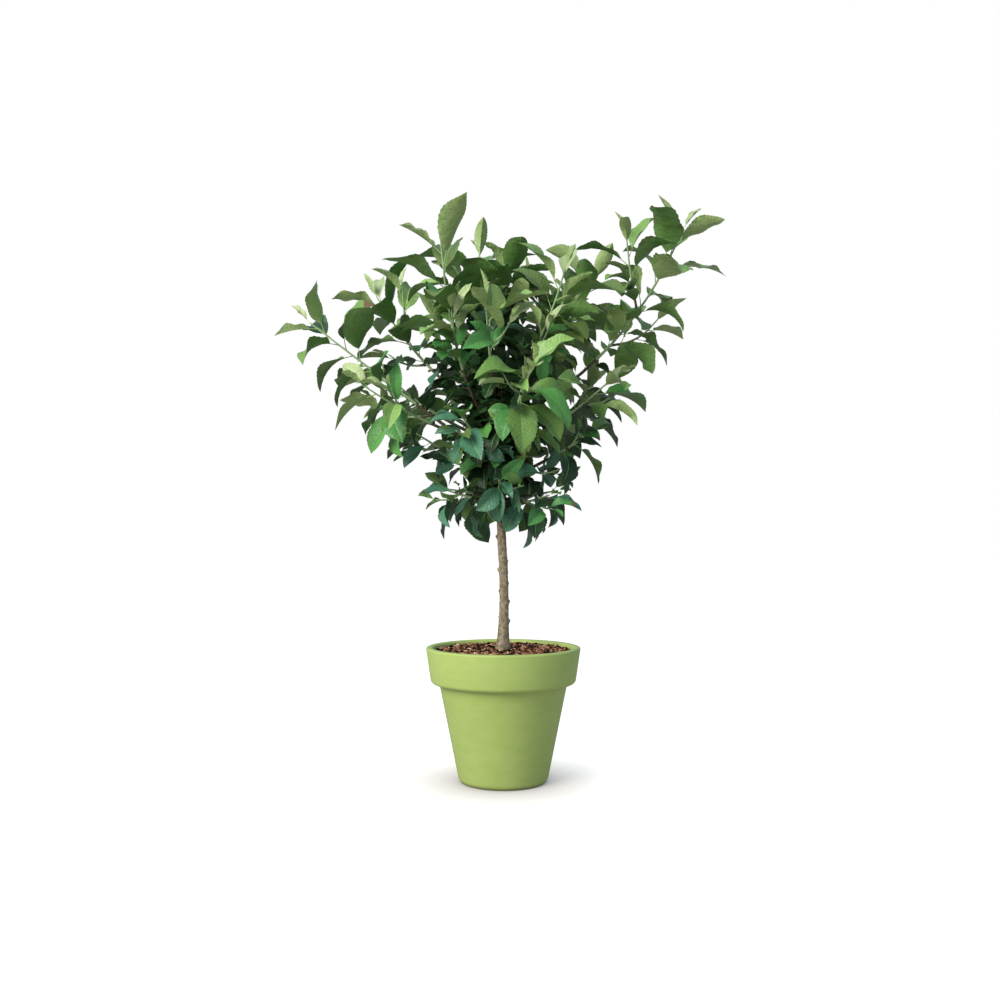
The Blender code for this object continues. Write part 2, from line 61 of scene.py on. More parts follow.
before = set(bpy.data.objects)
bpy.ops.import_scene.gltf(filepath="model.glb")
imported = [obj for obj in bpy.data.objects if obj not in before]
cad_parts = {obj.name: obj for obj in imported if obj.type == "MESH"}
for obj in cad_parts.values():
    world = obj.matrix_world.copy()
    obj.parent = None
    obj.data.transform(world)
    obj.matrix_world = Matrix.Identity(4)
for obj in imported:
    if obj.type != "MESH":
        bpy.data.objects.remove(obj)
CAD_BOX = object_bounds()
MASSES = [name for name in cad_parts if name.startswith("leaves_")]
BOUGHS = [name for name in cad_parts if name.startswith("bough_")]

WORLD_UP = Vector((0.0, 0.0, 1.0))
GAP = 0.0003


def linear(colour):
    """An sRGB hex colour as linear red, green and blue."""
    channels = [int(colour[i : i + 2], 16) / 255 for i in (0, 2, 4)]
    return tuple(c / 12.92 if c <= 0.04045 else ((c + 0.055) / 1.055) ** 2.4 for c in channels)


def length_setting(name, description, default):
    """A length that a user may change, in metres."""
    return FloatProperty(
        name=name, description=description, default=default, min=0.0, unit="LENGTH", precision=4
    )


def colour_setting(name, description, default):
    """A colour that a user may change, from its sRGB hex value."""
    return FloatVectorProperty(
        name=name,
        description=description,
        default=linear(default),
        subtype="COLOR",
        size=3,
        min=0.0,
        max=1.0,
    )


class PotSettings(bpy.types.PropertyGroup):
    """Sizes and colours of the pot."""

    height: length_setting("Height", "From the floor to the lip", 0.2165)
    rim_radius: length_setting("Rim radius", "Outside of the lip", 0.125)
    lip_width: length_setting("Lip width", "Across the top of the lip", 0.0115)
    collar_depth: length_setting("Collar depth", "Height of the collar below the lip", 0.058)
    collar_foot_radius: length_setting("Collar foot radius", "Lower edge of the collar", 0.1165)
    neck_radius: length_setting("Neck radius", "Body just below the collar", 0.1035)
    foot_radius: length_setting("Foot radius", "Body at the floor", 0.0715)
    colour: colour_setting("Colour", "The plastic's main green", "9db160")
    haze: colour_setting("Haze", "The paler, yellower patches of the moulding", "a5b768")


class MulchSettings(bpy.types.PropertyGroup):
    """Sizes and colours of the fill and of the bark chips on it."""

    drop: length_setting("Drop", "From the lip down to the top of the compost", 0.0068)
    chip_length: length_setting("Chip length", "Longest side of a bark chip", 0.0080)
    chips: IntProperty(name="Chips", description="How many bark chips", default=2500, min=0)
    compost: colour_setting("Compost", "Damp compost between the chips", "120b09")
    # Partly painted shade: the nearly black dark chips also stand for the shadowed gaps between chips.
    dark_chip: colour_setting("Dark chip", "Weathered outer bark", "170d08")
    red_chip: colour_setting("Red chip", "Freshly broken bark", "754b38")
    tan_chip: colour_setting("Tan chip", "Dry inner bark", "a87d5b")
    pale_chip: colour_setting("Pale chip", "Splintered wood and cork", "d2ab8a")


class BarkSettings(bpy.types.PropertyGroup):
    """Relief and colours of the bark and of the green shoots."""

    relief: length_setting("Relief", "Depth of the trunk's bark", 0.0010)
    knob: length_setting("Knob", "How far a rubbed-off bud stands out", 0.0034)
    trunk: colour_setting("Trunk", "Main colour of the trunk's bark", "887966")
    trunk_pale: colour_setting("Pale trunk", "Dry skin that flakes off the bark", "a09079")
    trunk_olive: colour_setting("Olive trunk", "Algae and live green under thin bark", "70674a")
    bough: colour_setting("Bough", "Bark of the boughs", "2f281d")
    shoot: colour_setting("Shoot", "Downy green bark of the year's shoots", "8aa377")
    stalk: colour_setting("Stalk", "Leaf stalks", "93aa70")


class LeafSettings(bpy.types.PropertyGroup):
    """Sizes and colours of the leaves."""

    width: FloatProperty(
        name="Width", description="Width of a leaf as a share of its length", default=0.44, min=0.1
    )
    downy: colour_setting("Downy", "Youngest leaves at a shoot's tip", "a0af80")
    fresh: colour_setting("Fresh", "Leaves that have just opened", "7ca158")
    bright: colour_setting("Bright", "Young leaves in full growth", "579648")
    olive: colour_setting("Olive", "Full-grown leaves on long shoots", "668a45")
    brown_olive: colour_setting("Brown olive", "The oldest leaves on long shoots", "5c723b")
    mid: colour_setting("Mid", "Full-grown leaves within the crown", "498545")
    # Painted shade: the deep tint is a dark green that stands for the shade on leaves deep in the crown.
    deep: colour_setting("Deep", "Shaded leaves deep in the crown", "1f3b1d")
    # Bluish and pale bluish: blue-green tints, dealt out mostly at the crown's foot.
    bluish: colour_setting("Bluish", "Waxy leaves at the crown's foot", "437359")
    waxy: colour_setting("Waxy", "The palest of the waxy leaves", "669178")
    pale_rib: colour_setting("Pale rib", "Midribs of pale leaves", "b1c98d")
    rib: colour_setting("Rib", "Midribs of dark leaves", "6f9556")
    pale_underside: colour_setting("Pale underside", "Underside of young leaves", "93ab6f")
    underside: colour_setting("Underside", "Underside of full-grown leaves", "618648")
    # Painted shade: a darker underside for the deep and bluish leaves.
    dark_underside: colour_setting("Dark underside", "Underside of shaded leaves", "3c5d39")
    scorched: colour_setting("Scorched", "Dry brown tips of old leaves", "624d35")


class StageSettings(bpy.types.PropertyGroup):
    """Floor, light and camera."""

    floor: colour_setting("Floor", "Plain floor", "9a918a")
    glow: FloatProperty(name="Glow", description="How brightly the floor glows", default=0.95)
    key_colour: colour_setting("Key colour", "Warm light of the main lamp", "fffaf0")
    sky_colour: colour_setting("Sky colour", "Cool light all round", "d6eeff")
    distance: length_setting("Distance", "From the camera to the middle of the pot", 1.6)
    eye_height: length_setting("Eye height", "Height of the camera", 0.392)
    key: FloatProperty(name="Key", description="Power of the main light", default=125, unit="POWER")
    sky: FloatProperty(name="Sky", description="Strength of the light all round", default=0.62, min=0.0)


def settings(group):
    """The settings of one kind of piece."""
    return getattr(bpy.context.scene, f"patio_tree_{group}")


# How the tree grows

# Trunk: (height above the mulch, radius), from the root flare to the foot of the leading shoot.
TRUNK_TAPER = (
    (0.000, 0.0125),
    (0.008, 0.0112),
    (0.022, 0.0096),
    (0.045, 0.0082),
    (0.080, 0.0073),
    (0.180, 0.0071),
    (0.245, 0.0066),
    (0.330, 0.0054),
    (0.439, 0.0032),
)
TRUNK_LENGTH = TRUNK_TAPER[-1][0]
TRUNK_FOOT = 0.2108
TRUNK_SIDES = 10
TRUNK_RINGS = 36
SWAY = 0.0012
SWAY_PERIOD = 0.22
SWAY_START = 0.027
LEAN = 0.035
LEAN_FROM = 0.140

# Limbs: a limb leaves the trunk at the height start, and the tip of its leading shoot stands at
# reach and height. bow is how far it runs outwards before it turns up. Its bare first stretch is the
# bough, and the rest leads a mass of leaves. twist is the side on which that mass's spiral begins.
Limb = namedtuple("Limb", "name start azimuth reach height bow bare side_shoots twist")
LIMBS = (
    Limb("skirt_front_right", 0.437, 312, 0.105, 0.458, 0.50, 0.034, 2, 67),
    Limb("skirt_back_left", 0.443, 150, 0.110, 0.472, 0.50, 0.034, 2, 134),
    Limb("skirt_back_right", 0.452, 35, 0.112, 0.472, 0.50, 0.034, 2, 201),
    Limb("skirt_left", 0.458, 213, 0.100, 0.468, 0.50, 0.034, 2, 268),
    Limb("low_back_left", 0.467, 122, 0.150, 0.555, 0.55, 0.042, 3, 335),
    Limb("skirt_front", 0.474, 266, 0.098, 0.480, 0.50, 0.034, 3, 42),
    Limb("low_right", 0.482, 345, 0.148, 0.560, 0.55, 0.042, 3, 109),
    Limb("low_left", 0.488, 188, 0.150, 0.565, 0.55, 0.042, 3, 176),
    Limb("low_back", 0.497, 76, 0.155, 0.575, 0.55, 0.042, 3, 243),
    Limb("far_left", 0.505, 184, 0.309, 0.735, 0.50, 0.065, 4, 355),
    Limb("mid_back_right", 0.512, 48, 0.235, 0.665, 0.60, 0.055, 3, 17),
    Limb("low_front", 0.520, 245, 0.150, 0.575, 0.60, 0.042, 3, 84),
    Limb("mid_right", 0.527, 336, 0.185, 0.640, 0.60, 0.055, 3, 151),
    Limb("mid_left", 0.533, 204, 0.235, 0.625, 0.60, 0.055, 3, 218),
    Limb("mid_back_left", 0.542, 146, 0.235, 0.670, 0.60, 0.055, 3, 285),
    Limb("mid_front", 0.548, 282, 0.195, 0.640, 0.62, 0.055, 3, 352),
    Limb("tall_left", 0.557, 231, 0.150, 0.838, 0.80, 0.060, 4, 289),
    Limb("mid_back", 0.563, 96, 0.235, 0.700, 0.60, 0.060, 3, 126),
    Limb("tall_right", 0.572, 350, 0.286, 0.876, 0.70, 0.070, 4, 175),
    Limb("upper_left", 0.579, 162, 0.225, 0.800, 0.62, 0.065, 4, 260),
    Limb("front", 0.588, 262, 0.185, 0.730, 0.64, 0.060, 3, 327),
    Limb("upper_back_right", 0.596, 58, 0.225, 0.790, 0.62, 0.065, 4, 34),
    Limb("upper_front", 0.606, 308, 0.150, 0.795, 0.66, 0.060, 3, 101),
    Limb("tall_back", 0.616, 112, 0.110, 0.880, 0.62, 0.060, 4, 168),
    Limb("upper_right", 0.627, 24, 0.175, 0.835, 0.62, 0.060, 3, 235),
)
# The trunk's own leading shoot, which has no bough.
LEADER = Limb("leader", TRUNK_FOOT + TRUNK_LENGTH, 40, 0.022, 0.815, 0.0, 0.0, 3, 302)

# Wood: boughs swell to a collar where they meet the trunk, and shoots thin out to their tips.
BOUGH_RADIUS = 0.0046
BOUGH_SHARE_OF_TRUNK = 0.75
BOUGH_COLLAR = 1.35
BOUGH_RINGS = 4
BOUGH_SIDES = 6
STEM_RADIUS = 0.0030
STEM_RINGS = 6
STEM_SIDES = 4
TWIG_RADIUS = 0.0022
TWIG_RINGS = 3
TWIG_SIDES = 3
TIP_RADIUS = 0.0014

# Side twigs leave the leading shoot in turn. FIRST and SPAN are shares of its length, and so is
# LENGTH, as (shortest, longest).
TWIG_FIRST = 0.06
TWIG_SPAN = 0.52
TWIG_TURN = math.radians(150)
TWIG_LENGTH = (0.34, 0.48)
TWIG_LENGTH_LOSS = 0.35
TWIG_SHORTEST = 0.045
TWIG_LONGEST = 0.115
TWIG_VIGOUR = 0.84

# Leaves go down each twig in a spiral. Pairs of angles are in degrees, for the leaf at the tip and
# for a full-grown one. HIGH is for masses in the top of the crown and LOW for those at its foot.
LEAF_TURN = math.radians(137.5)
HIGH_LEAF_PITCH = 0.0145
LOW_LEAF_PITCH = 0.0113
HIGH_LEAF_LENGTH = 0.118
LOW_LEAF_LENGTH = 0.080
HIGH_LEAF_LIFT = 0.16
LOW_LEAF_LIFT = -0.70
HIGH = 0.78
LOW = 0.50
FEWEST_LEAVES = 4
LEAVES_DOWN_TO = 0.93
LEAVES_TO_FULL_AGE = 5
LEAVES_TO_FULL_SIZE = 3.6
LEAVES_BEFORE_LOSS = 7
OLD_LEAF_LOSS = 0.25
SPREAD = (15, 65)
LOW_SPREAD = 20
ARCH = (10, 34)
FOLD = (38, 16)

# The plain blade that a leaf's room is tried with.
WIDEST = 0.54
THICKEST = 0.34
THICKNESS = 0.028
RISE_OF_ARCH = 0.25
ROOT_DEPTH = 0.0005

# A leaf's stalk, as a share of the leaf's length.
STALK_SHARE = 0.19

# A leaf that finds no room is swung round its twig and shortened a little, up to this many times.
TRIES = 12
SWING = math.radians(24)
SHRINK = 0.04
SPACE_SAMPLES = 12
LIMB_CLEARANCE = 0.0010

# Spurs: short woody shoots along the older wood, each with a rosette of small leaves. FIRST and
# SPAN are shares of a shoot's length. The rank is that of a leaf far from its shoot's tip.
SPUR_LENGTH = (0.006, 0.018)
SPUR_RADII = (0.0016, 0.0012)
SPUR_LEAVES = (4, 6)
SPUR_LEAF_LENGTH = (0.036, 0.066)
SPUR_LEAF_WIDTH = 0.48
SPUR_LEAF_LIFT = (-0.5, 0.3)
SPUR_LEAF_ARCH = (8, 42)
SPUR_LEAF_FOLD = (8, 28)
SPUR_LEAF_STRAY = 0.6
SPUR_SPREAD = (30, 95)
SPUR_RINGS = 2
SPUR_SIDES = 5
SPUR_TRIES = 7
SPUR_SHRINK = 0.05
SPURS_ON_TRUNK = 30
SPURS_ON_BOUGH = 4
SPURS_ON_STEM = 6
SPURS_ON_TWIG = 3
SPUR_FIRST = 0.05
SPUR_SPAN = 0.80
LOWEST_SPUR = 0.490
SPUR_REACH = 0.115
SPUR_REACH_AT_FOOT = 0.022
SPUR_RANK = 9
# Up to this height above the lowest spur, rosettes have fewer leaves, and larger ones.
SPUR_FOOT = 0.110
LOSS_AT_FOOT = 2
GAIN_AT_FOOT = 0.38

Twig = namedtuple("Twig", "points radii across sides vigour twist")
Leaf = namedtuple("Leaf", "root along face length width arch fold")
Grown = namedtuple("Grown", "leaf rank place")


def trunk_axis(z):
    """The trunk's centre at a height: a slight sway, and a lean from part way up."""
    up = z - TRUNK_FOOT
    turn = 2 * math.pi * (up - SWAY_START) / SWAY_PERIOD
    lean = LEAN * max(0.0, up - LEAN_FROM)
    return Vector((SWAY * math.sin(turn) - lean, SWAY * math.cos(turn), z))


def trunk_radius(z):
    """The trunk's radius at a height."""
    up = z - TRUNK_FOOT
    for (low, wide), (high, narrow) in zip(TRUNK_TAPER, TRUNK_TAPER[1:]):
        if up <= high:
            return wide + (narrow - wide) * (up - low) / (high - low)
    return TRUNK_TAPER[-1][1]


def directions(points):
    """The direction of a smooth line at each of its evenly spaced points."""
    inner = [after - before for before, after in zip(points, points[2:])]
    first = points[1] * 4 - points[0] * 3 - points[2]
    last = points[-1] * 3 - points[-2] * 4 + points[-3]
    return [way.normalized() for way in (first, *inner, last)]


def round_faces(rings, sides):
    """The faces that run up from each of these rings of points to the next one."""
    return [
        (ring + i, ring + (i + 1) % sides, ring + sides + (i + 1) % sides, ring + sides + i)
        for ring in rings
        for i in range(sides)
    ]


def tube(points, radii, across, sides):
    """(points, faces) of a closed tapering limb, whose rings are square to its line."""
    skin = []
    for centre, way, radius in zip(points, directions(points), radii):
        first = (across - way * across.dot(way)).normalized()
        second = way.cross(first)
        for i in range(sides):
            turn = 2 * math.pi * i / sides
            skin.append(centre + (first * math.cos(turn) + second * math.sin(turn)) * radius)
    last = len(skin) - sides
    faces = [tuple(reversed(range(sides)))]
    faces += round_faces(range(0, last, sides), sides)
    faces.append(tuple(range(last, len(skin))))
    return skin, faces


def trunk_shape(swell):
    """(points, faces) of the plain trunk, with its skin grown by swell."""
    heights = [TRUNK_FOOT + TRUNK_LENGTH * k / TRUNK_RINGS for k in range(TRUNK_RINGS + 1)]
    centres = [trunk_axis(z) for z in heights]
    radii = [trunk_radius(z) + swell for z in heights]
    points, faces = tube(centres, radii, Vector((1, 0, 0)), TRUNK_SIDES)
    for i in range(TRUNK_SIDES):
        points[i].z = heights[0]
        points[-1 - i].z = heights[-1]
    return points, faces


def bend(start, knee, end, share):
    """A point of the curve from start to end that heads for knee first."""
    return start * (1 - share) ** 2 + knee * 2 * share * (1 - share) + end * share**2


def limb_point(limb, share):
    """A point of a limb, from the trunk's axis to the tip of its leading shoot."""
    turn = math.radians(limb.azimuth)
    tip = Vector((math.cos(turn), math.sin(turn), 0.0)) * limb.reach + WORLD_UP * limb.height
    start = trunk_axis(limb.start)
    way = tip - start
    knee = start + Vector((way.x, way.y, 0.0)) * limb.bow + WORLD_UP * way.z * (1 - limb.bow)
    return bend(start, knee, tip, share)


def line_length(points):
    """The length of a line through these points."""
    return sum((after - before).length for before, after in zip(points, points[1:]))


def limb_share(limb, distance):
    """The share of a limb's curve that lies this far along it from the trunk's axis."""
    low, high = 0.0, 1.0
    for _ in range(24):
        middle = (low + high) / 2
        if line_length([limb_point(limb, middle * k / 24) for k in range(25)]) < distance:
            low = middle
        else:
            high = middle
    return (low + high) / 2


def limb_across(limb):
    """The level direction square to a limb."""
    turn = math.radians(limb.azimuth)
    return Vector((-math.sin(turn), math.cos(turn), 0.0))


def tapered(wide, narrow, rings):
    """Radii that fall evenly from one to the other."""
    return [wide + (narrow - wide) * k / rings for k in range(rings + 1)]


def bough_line(limb, rings):
    """(points, radii) of a bough, which tapers from a swollen collar at the trunk."""
    end = limb_share(limb, limb.bare)
    points = [limb_point(limb, end * k / rings) for k in range(rings + 1)]
    root = min(BOUGH_RADIUS, BOUGH_SHARE_OF_TRUNK * trunk_radius(limb.start))
    radii = tapered(root, STEM_RADIUS, rings)
    return points, radii


def leading_shoot(limb):
    """The leading shoot of a mass, which goes on from its bough's tip or from the trunk's."""
    begin = limb_share(limb, limb.bare + GAP)
    points = [limb_point(limb, begin + (1 - begin) * k / STEM_RINGS) for k in range(STEM_RINGS + 1)]
    radii = tapered(STEM_RADIUS, TIP_RADIUS, STEM_RINGS)
    return Twig(points, radii, limb_across(limb), STEM_SIDES, 1.0, math.radians(limb.twist))


def point_on(twig, share):
    """(place, direction) at a share of a twig's length."""
    position = min(share * (len(twig.points) - 1), len(twig.points) - 1.001)
    k = int(position)
    before, after = twig.points[k], twig.points[k + 1]
    return before.lerp(after, position - k), (after - before).normalized()


def side_twigs(limb, leader, rng):
    """Side twigs that leave the leading shoot in turn and curve up towards the light."""
    twigs = []
    turn = rng.uniform(0, 2 * math.pi)
    for k in range(limb.side_shoots):
        share = TWIG_FIRST + TWIG_SPAN * k / (limb.side_shoots - 1) + rng.uniform(-0.03, 0.03)
        base, heading = point_on(leader, share)
        turn += TWIG_TURN + rng.uniform(-0.4, 0.4)
        side = Matrix.Rotation(turn, 3, heading) @ leader.across
        length = line_length(leader.points) * rng.uniform(*TWIG_LENGTH) * (1 - TWIG_LENGTH_LOSS * share)
        length = min(max(length, TWIG_SHORTEST), TWIG_LONGEST)
        aim = (heading * 0.55 + side * 0.85 + WORLD_UP * 0.10).normalized()
        knee = base + aim * length * 0.55
        tip = base + (aim * 0.9 + WORLD_UP * 0.35).normalized() * length
        points = [bend(base, knee, tip, k / TWIG_RINGS) for k in range(TWIG_RINGS + 1)]
        radii = tapered(TWIG_RADIUS, TIP_RADIUS, TWIG_RINGS)
        across = aim.cross(WORLD_UP).normalized()
        twist = rng.uniform(0, 2 * math.pi)
        twigs.append(Twig(points, radii, across, TWIG_SIDES, TWIG_VIGOUR, twist))
    return twigs


def mix(high, low, share):
    """The value this share of the way from one to the other."""
    return high + (low - high) * share


def leaves_on(twig, lowness, rng):
    """Leaves in a spiral down a twig. lowness is 0 at the top of the crown and 1 at its foot."""
    pitch = mix(HIGH_LEAF_PITCH, LOW_LEAF_PITCH, lowness)
    full_length = mix(HIGH_LEAF_LENGTH, LOW_LEAF_LENGTH, lowness) * twig.vigour
    lift = mix(HIGH_LEAF_LIFT, LOW_LEAF_LIFT, lowness)
    leaf_width = settings("leaf").width
    count = max(FEWEST_LEAVES, round(line_length(twig.points) / pitch))
    turn = twig.twist
    leaves = []
    for k in range(count):
        age = min(1.0, k / LEAVES_TO_FULL_AGE)
        turn += LEAF_TURN + rng.uniform(-0.15, 0.15)
        root, heading = point_on(twig, 1.0 - LEAVES_DOWN_TO * (k / (count - 1)) ** 0.95)
        side = Matrix.Rotation(turn, 3, heading) @ twig.across
        spread = mix(*SPREAD, age**0.45) + rng.uniform(-9, 9) + LOW_SPREAD * lowness * age
        along = heading * math.cos(math.radians(spread)) + side * math.sin(math.radians(spread))
        along = (along + WORLD_UP * lift * age).normalized()
        face = heading * 0.75 + WORLD_UP * 0.65 - side * 0.15 * (1 - age)
        face = (face - along * face.dot(along)).normalized()
        grown = math.sin(math.pi / 2 * min(1.0, (k + 1) / LEAVES_TO_FULL_SIZE))
        loss = OLD_LEAF_LOSS * max(0, k - LEAVES_BEFORE_LOSS) / LEAVES_BEFORE_LOSS
        length = full_length * grown * (1 - loss) * rng.uniform(0.82, 1.10)
        width = length * leaf_width * (0.80 + 0.25 * age) * rng.uniform(0.9, 1.1)
        arch = math.radians(mix(*ARCH, age) + rng.uniform(-10, 12))
        fold = math.radians(mix(*FOLD, age) + rng.uniform(-8, 8))
        leaves.append(Leaf(root, along, face, length, width, arch, fold))
    return leaves


def plain_blade(leaf):
    """(points, faces) of a leaf as a plain folded blade, which its room is tried with."""
    rise = leaf.arch * RISE_OF_ARCH
    upward = leaf.along * math.cos(rise) + leaf.face * math.sin(rise)
    ahead = leaf.along * math.cos(leaf.arch) - leaf.face * math.sin(leaf.arch)
    rib = leaf.root + upward * (leaf.length * THICKEST)
    middle = leaf.root + upward * (leaf.length * WIDEST)
    tip = middle + ahead * (leaf.length * (1 - WIDEST))
    half = leaf.face * (leaf.length * THICKNESS / 2)
    wing = leaf.along.cross(leaf.face) * (leaf.width / 2 * math.cos(leaf.fold))
    lift = leaf.face * (leaf.width / 2 * math.sin(leaf.fold))
    root = leaf.root - leaf.along * ROOT_DEPTH
    points = [root, middle + wing + lift, middle - wing + lift, rib + half, rib - half, tip]
    faces = [
        (0, 1, 3),
        (0, 3, 2),
        (0, 4, 1),
        (0, 2, 4),
        (5, 3, 1),
        (5, 2, 3),
        (5, 1, 4),
        (5, 4, 2),
    ]
    return points, faces


def swung(leaf, heading, attempt):
    """A leaf swung round its twig, to one side and the other in turn, and a little smaller."""
    swing = Matrix.Rotation(SWING * ((attempt + 1) // 2) * (-1) ** attempt, 3, heading)
    size = 1.0 - SHRINK * attempt
    return leaf._replace(
        along=swing @ leaf.along,
        face=swing @ leaf.face,
        length=leaf.length * size,
        width=leaf.width * size,
    )


class Space:
    """The room each mass has to itself: what lies nearer to its own twigs than to any other's."""

    def __init__(self, crown):
        """crown holds the twigs of each limb's mass."""
        places = [
            (point_on(twig, k / SPACE_SAMPLES)[0], limb)
            for limb, twigs in crown.items()
            for twig in twigs
            for k in range(SPACE_SAMPLES + 1)
        ]
        self.owners = [limb for _, limb in places]
        self.twigs = KDTree(len(places))
        for number, (place, _) in enumerate(places):
            self.twigs.insert(place, number)
        self.twigs.balance()

    def holds(self, points, limb):
        """True if all these points lie in the room of this limb's mass."""
        return all(self.owners[self.twigs.find(point)[1]] is limb for point in points)


def round_about(points):
    """(middle, radius) of a ball that holds these points."""
    middle = sum(points, Vector()) / len(points)
    return middle, max((point - middle).length for point in points)


class Placed:
    """What stands in the crown already, kept so that nothing new touches it."""

    def __init__(self):
        """Nothing stands there yet."""
        self.shapes = []

    def add(self, points, faces, twig=None):
        """Keeps a shape, with the twig that it is, if it is one."""
        self.shapes.append((*round_about(points), BVHTree.FromPolygons(points, faces), twig))

    def touches(self, points, faces, own_twig=None):
        """True if a shape touches anything but the twig that it grows on."""
        middle, radius = round_about(points)
        tree = BVHTree.FromPolygons(points, faces)
        return any(
            (middle - other).length < radius + reach and tree.overlap(shape)
            for other, reach, shape, twig in self.shapes
            if own_twig is None or twig is not own_twig
        )


def wide_tube(points, radii, across, sides):
    """(points, faces) of a limb with room around it."""
    return tube(points, [radius + LIMB_CLEARANCE for radius in radii], across, sides)


def placed_limbs():
    """The trunk and the boughs, with room around them."""
    placed = Placed()
    placed.add(*trunk_shape(LIMB_CLEARANCE))
    for limb in LIMBS:
        points, radii = bough_line(limb, BOUGH_RINGS)
        radii[1] *= BOUGH_COLLAR
        placed.add(*wide_tube(points, radii, limb_across(limb), BOUGH_SIDES))
    return placed


def grow_twigs(limb, leader, space, placed):
    """The leading shoot of a mass and those of its side twigs that find room."""
    rng = random.Random(limb.name)
    twigs = [leader]
    for twig in side_twigs(limb, leader, rng):
        shape = wide_tube(twig.points, twig.radii, twig.across, twig.sides)
        if space.holds(twig.points[1:], limb) and not placed.touches(*shape):
            twigs.append(twig)
    return twigs


def grow_leaves(limb, twigs, space, placed):
    """The leaves of a mass, without those that would leave its space or touch anything."""
    rng = random.Random(f"{limb.name} leaves")
    lowness = min(1.0, max(0.0, (HIGH - limb.height) / (HIGH - LOW)))
    grown = []
    for twig in twigs:
        heading = point_on(twig, 0.5)[1]
        for rank, leaf in enumerate(leaves_on(twig, lowness, rng)):
            for attempt in range(TRIES):
                tried = swung(leaf, heading, attempt)
                shape = plain_blade(tried)
                if space.holds(shape[0][1:], limb) and not placed.touches(*shape, twig):
                    grown.append(Grown(tried, rank, twig))
                    placed.add(*shape)
                    break
    return grown


def spur(base, heading, side, rng):
    """A short woody shoot that stands out to one side of its limb."""
    aim = (heading * 0.35 + side + WORLD_UP * 0.25).normalized()
    length = rng.uniform(*SPUR_LENGTH)
    points = [base + aim * length * k / SPUR_RINGS for k in range(SPUR_RINGS + 1)]
    radii = tapered(*SPUR_RADII, SPUR_RINGS)
    across = aim.orthogonal().normalized()
    return Twig(points, radii, across, TWIG_SIDES, 0.0, rng.uniform(0, 2 * math.pi))


def spur_leaf(twig, turn, size, rng):
    """A small leaf at a spur's tip, on the side that turn gives."""
    heading = (twig.points[-1] - twig.points[0]).normalized()
    side = Matrix.Rotation(turn, 3, heading) @ twig.across
    spread = math.radians(rng.uniform(*SPUR_SPREAD))
    along = heading * math.cos(spread) + side * math.sin(spread)
    along = (along + WORLD_UP * rng.uniform(*SPUR_LEAF_LIFT)).normalized()
    face = heading * 0.4 + WORLD_UP * 0.8
    face = (face - along * face.dot(along)).normalized()
    length = rng.uniform(*SPUR_LEAF_LENGTH) * size
    arch = math.radians(rng.uniform(*SPUR_LEAF_ARCH))
    fold = math.radians(rng.uniform(*SPUR_LEAF_FOLD))
    return Leaf(twig.points[-1], along, face, length, length * SPUR_LEAF_WIDTH, arch, fold)


def within_spurs(base):
    """True deep in the crown, where spurs grow: in a funnel that widens from the lowest boughs up."""
    wide = SPUR_REACH * (base.z - LOWEST_SPUR) / (HIGH - LOWEST_SPUR) + SPUR_REACH_AT_FOOT
    return (base - trunk_axis(base.z)).xy.length < wide


def spur_places(twigs):
    """(base, heading, across) of the places that bear spurs, on trunk, boughs and shoots."""
    places = []
    for k in range(SPURS_ON_TRUNK):
        z = mix(LOWEST_SPUR, TRUNK_FOOT + TRUNK_LENGTH, k / SPURS_ON_TRUNK)
        places.append((trunk_axis(z), WORLD_UP, Vector((1, 0, 0))))
    for limb in LIMBS:
        points, _ = bough_line(limb, SPURS_ON_BOUGH + 2)
        for before, after in zip(points[1:], points[2:]):
            places.append((before, (after - before).normalized(), limb_across(limb)))
    for twig in twigs:
        count = SPURS_ON_STEM if twig.sides == STEM_SIDES else SPURS_ON_TWIG
        for k in range(count):
            base, heading = point_on(twig, SPUR_FIRST + SPUR_SPAN * k / count)
            places.append((base, heading, twig.across))
    return [place for place in places if within_spurs(place[0])]


def grow_spurs(twigs, placed):
    """(spurs, leaves) of the rosettes that find room along the older wood."""
    rng = random.Random("spurs")
    spurs = []
    grown = []
    turn = 0.0
    for base, heading, across in spur_places(twigs):
        turn += LEAF_TURN
        side = Matrix.Rotation(turn, 3, heading) @ across
        twig = spur(base, heading, side, rng)
        found = []
        leaf_turn = twig.twist
        foot = max(0.0, 1.0 - (base.z - LOWEST_SPUR) / SPUR_FOOT)
        for _ in range(rng.randint(*SPUR_LEAVES) - round(LOSS_AT_FOOT * foot)):
            leaf_turn += LEAF_TURN
            for attempt in range(SPUR_TRIES):
                size = (1.0 - SPUR_SHRINK * attempt) * (1.0 + GAIN_AT_FOOT * foot)
                stray = rng.uniform(-SPUR_LEAF_STRAY, SPUR_LEAF_STRAY)
                leaf = spur_leaf(twig, leaf_turn + stray, size, rng)
                # Only the blade needs room: stalks start close together.
                points, faces = plain_blade(leaf)
                points[0] = leaf.root + leaf.along * (leaf.length * STALK_SHARE)
                if not placed.touches(points, faces):
                    found.append(Grown(leaf, SPUR_RANK, twig))
                    placed.add(points, faces)
                    break
        if found:
            spurs.append(twig)
            grown += found
    return spurs, grown


Crown = namedtuple("Crown", "twigs spurs leaves")


@cache
def crown():
    """The grown crown: the twigs of each limb, the spurs, and every leaf."""
    placed = placed_limbs()
    leaders = {limb: leading_shoot(limb) for limb in LIMBS + (LEADER,)}
    space = Space({limb: [leader] for limb, leader in leaders.items()})
    twigs = {limb: grow_twigs(limb, leader, space, placed) for limb, leader in leaders.items()}
    for branches in twigs.values():
        for twig in branches:
            placed.add(*wide_tube(twig.points, twig.radii, twig.across, twig.sides), twig)
    space = Space(twigs)
    leaves = []
    for limb, branches in twigs.items():
        leaves += grow_leaves(limb, branches, space, placed)
    shoots = [twig for branches in twigs.values() for twig in branches]
    spurs, small = grow_spurs(shoots, placed)
    return Crown(shoots, spurs, leaves + small)


# Materials

# The depth of the dimples in green tissue, as a share of their size.
DIMPLE_DEPTH = 0.12


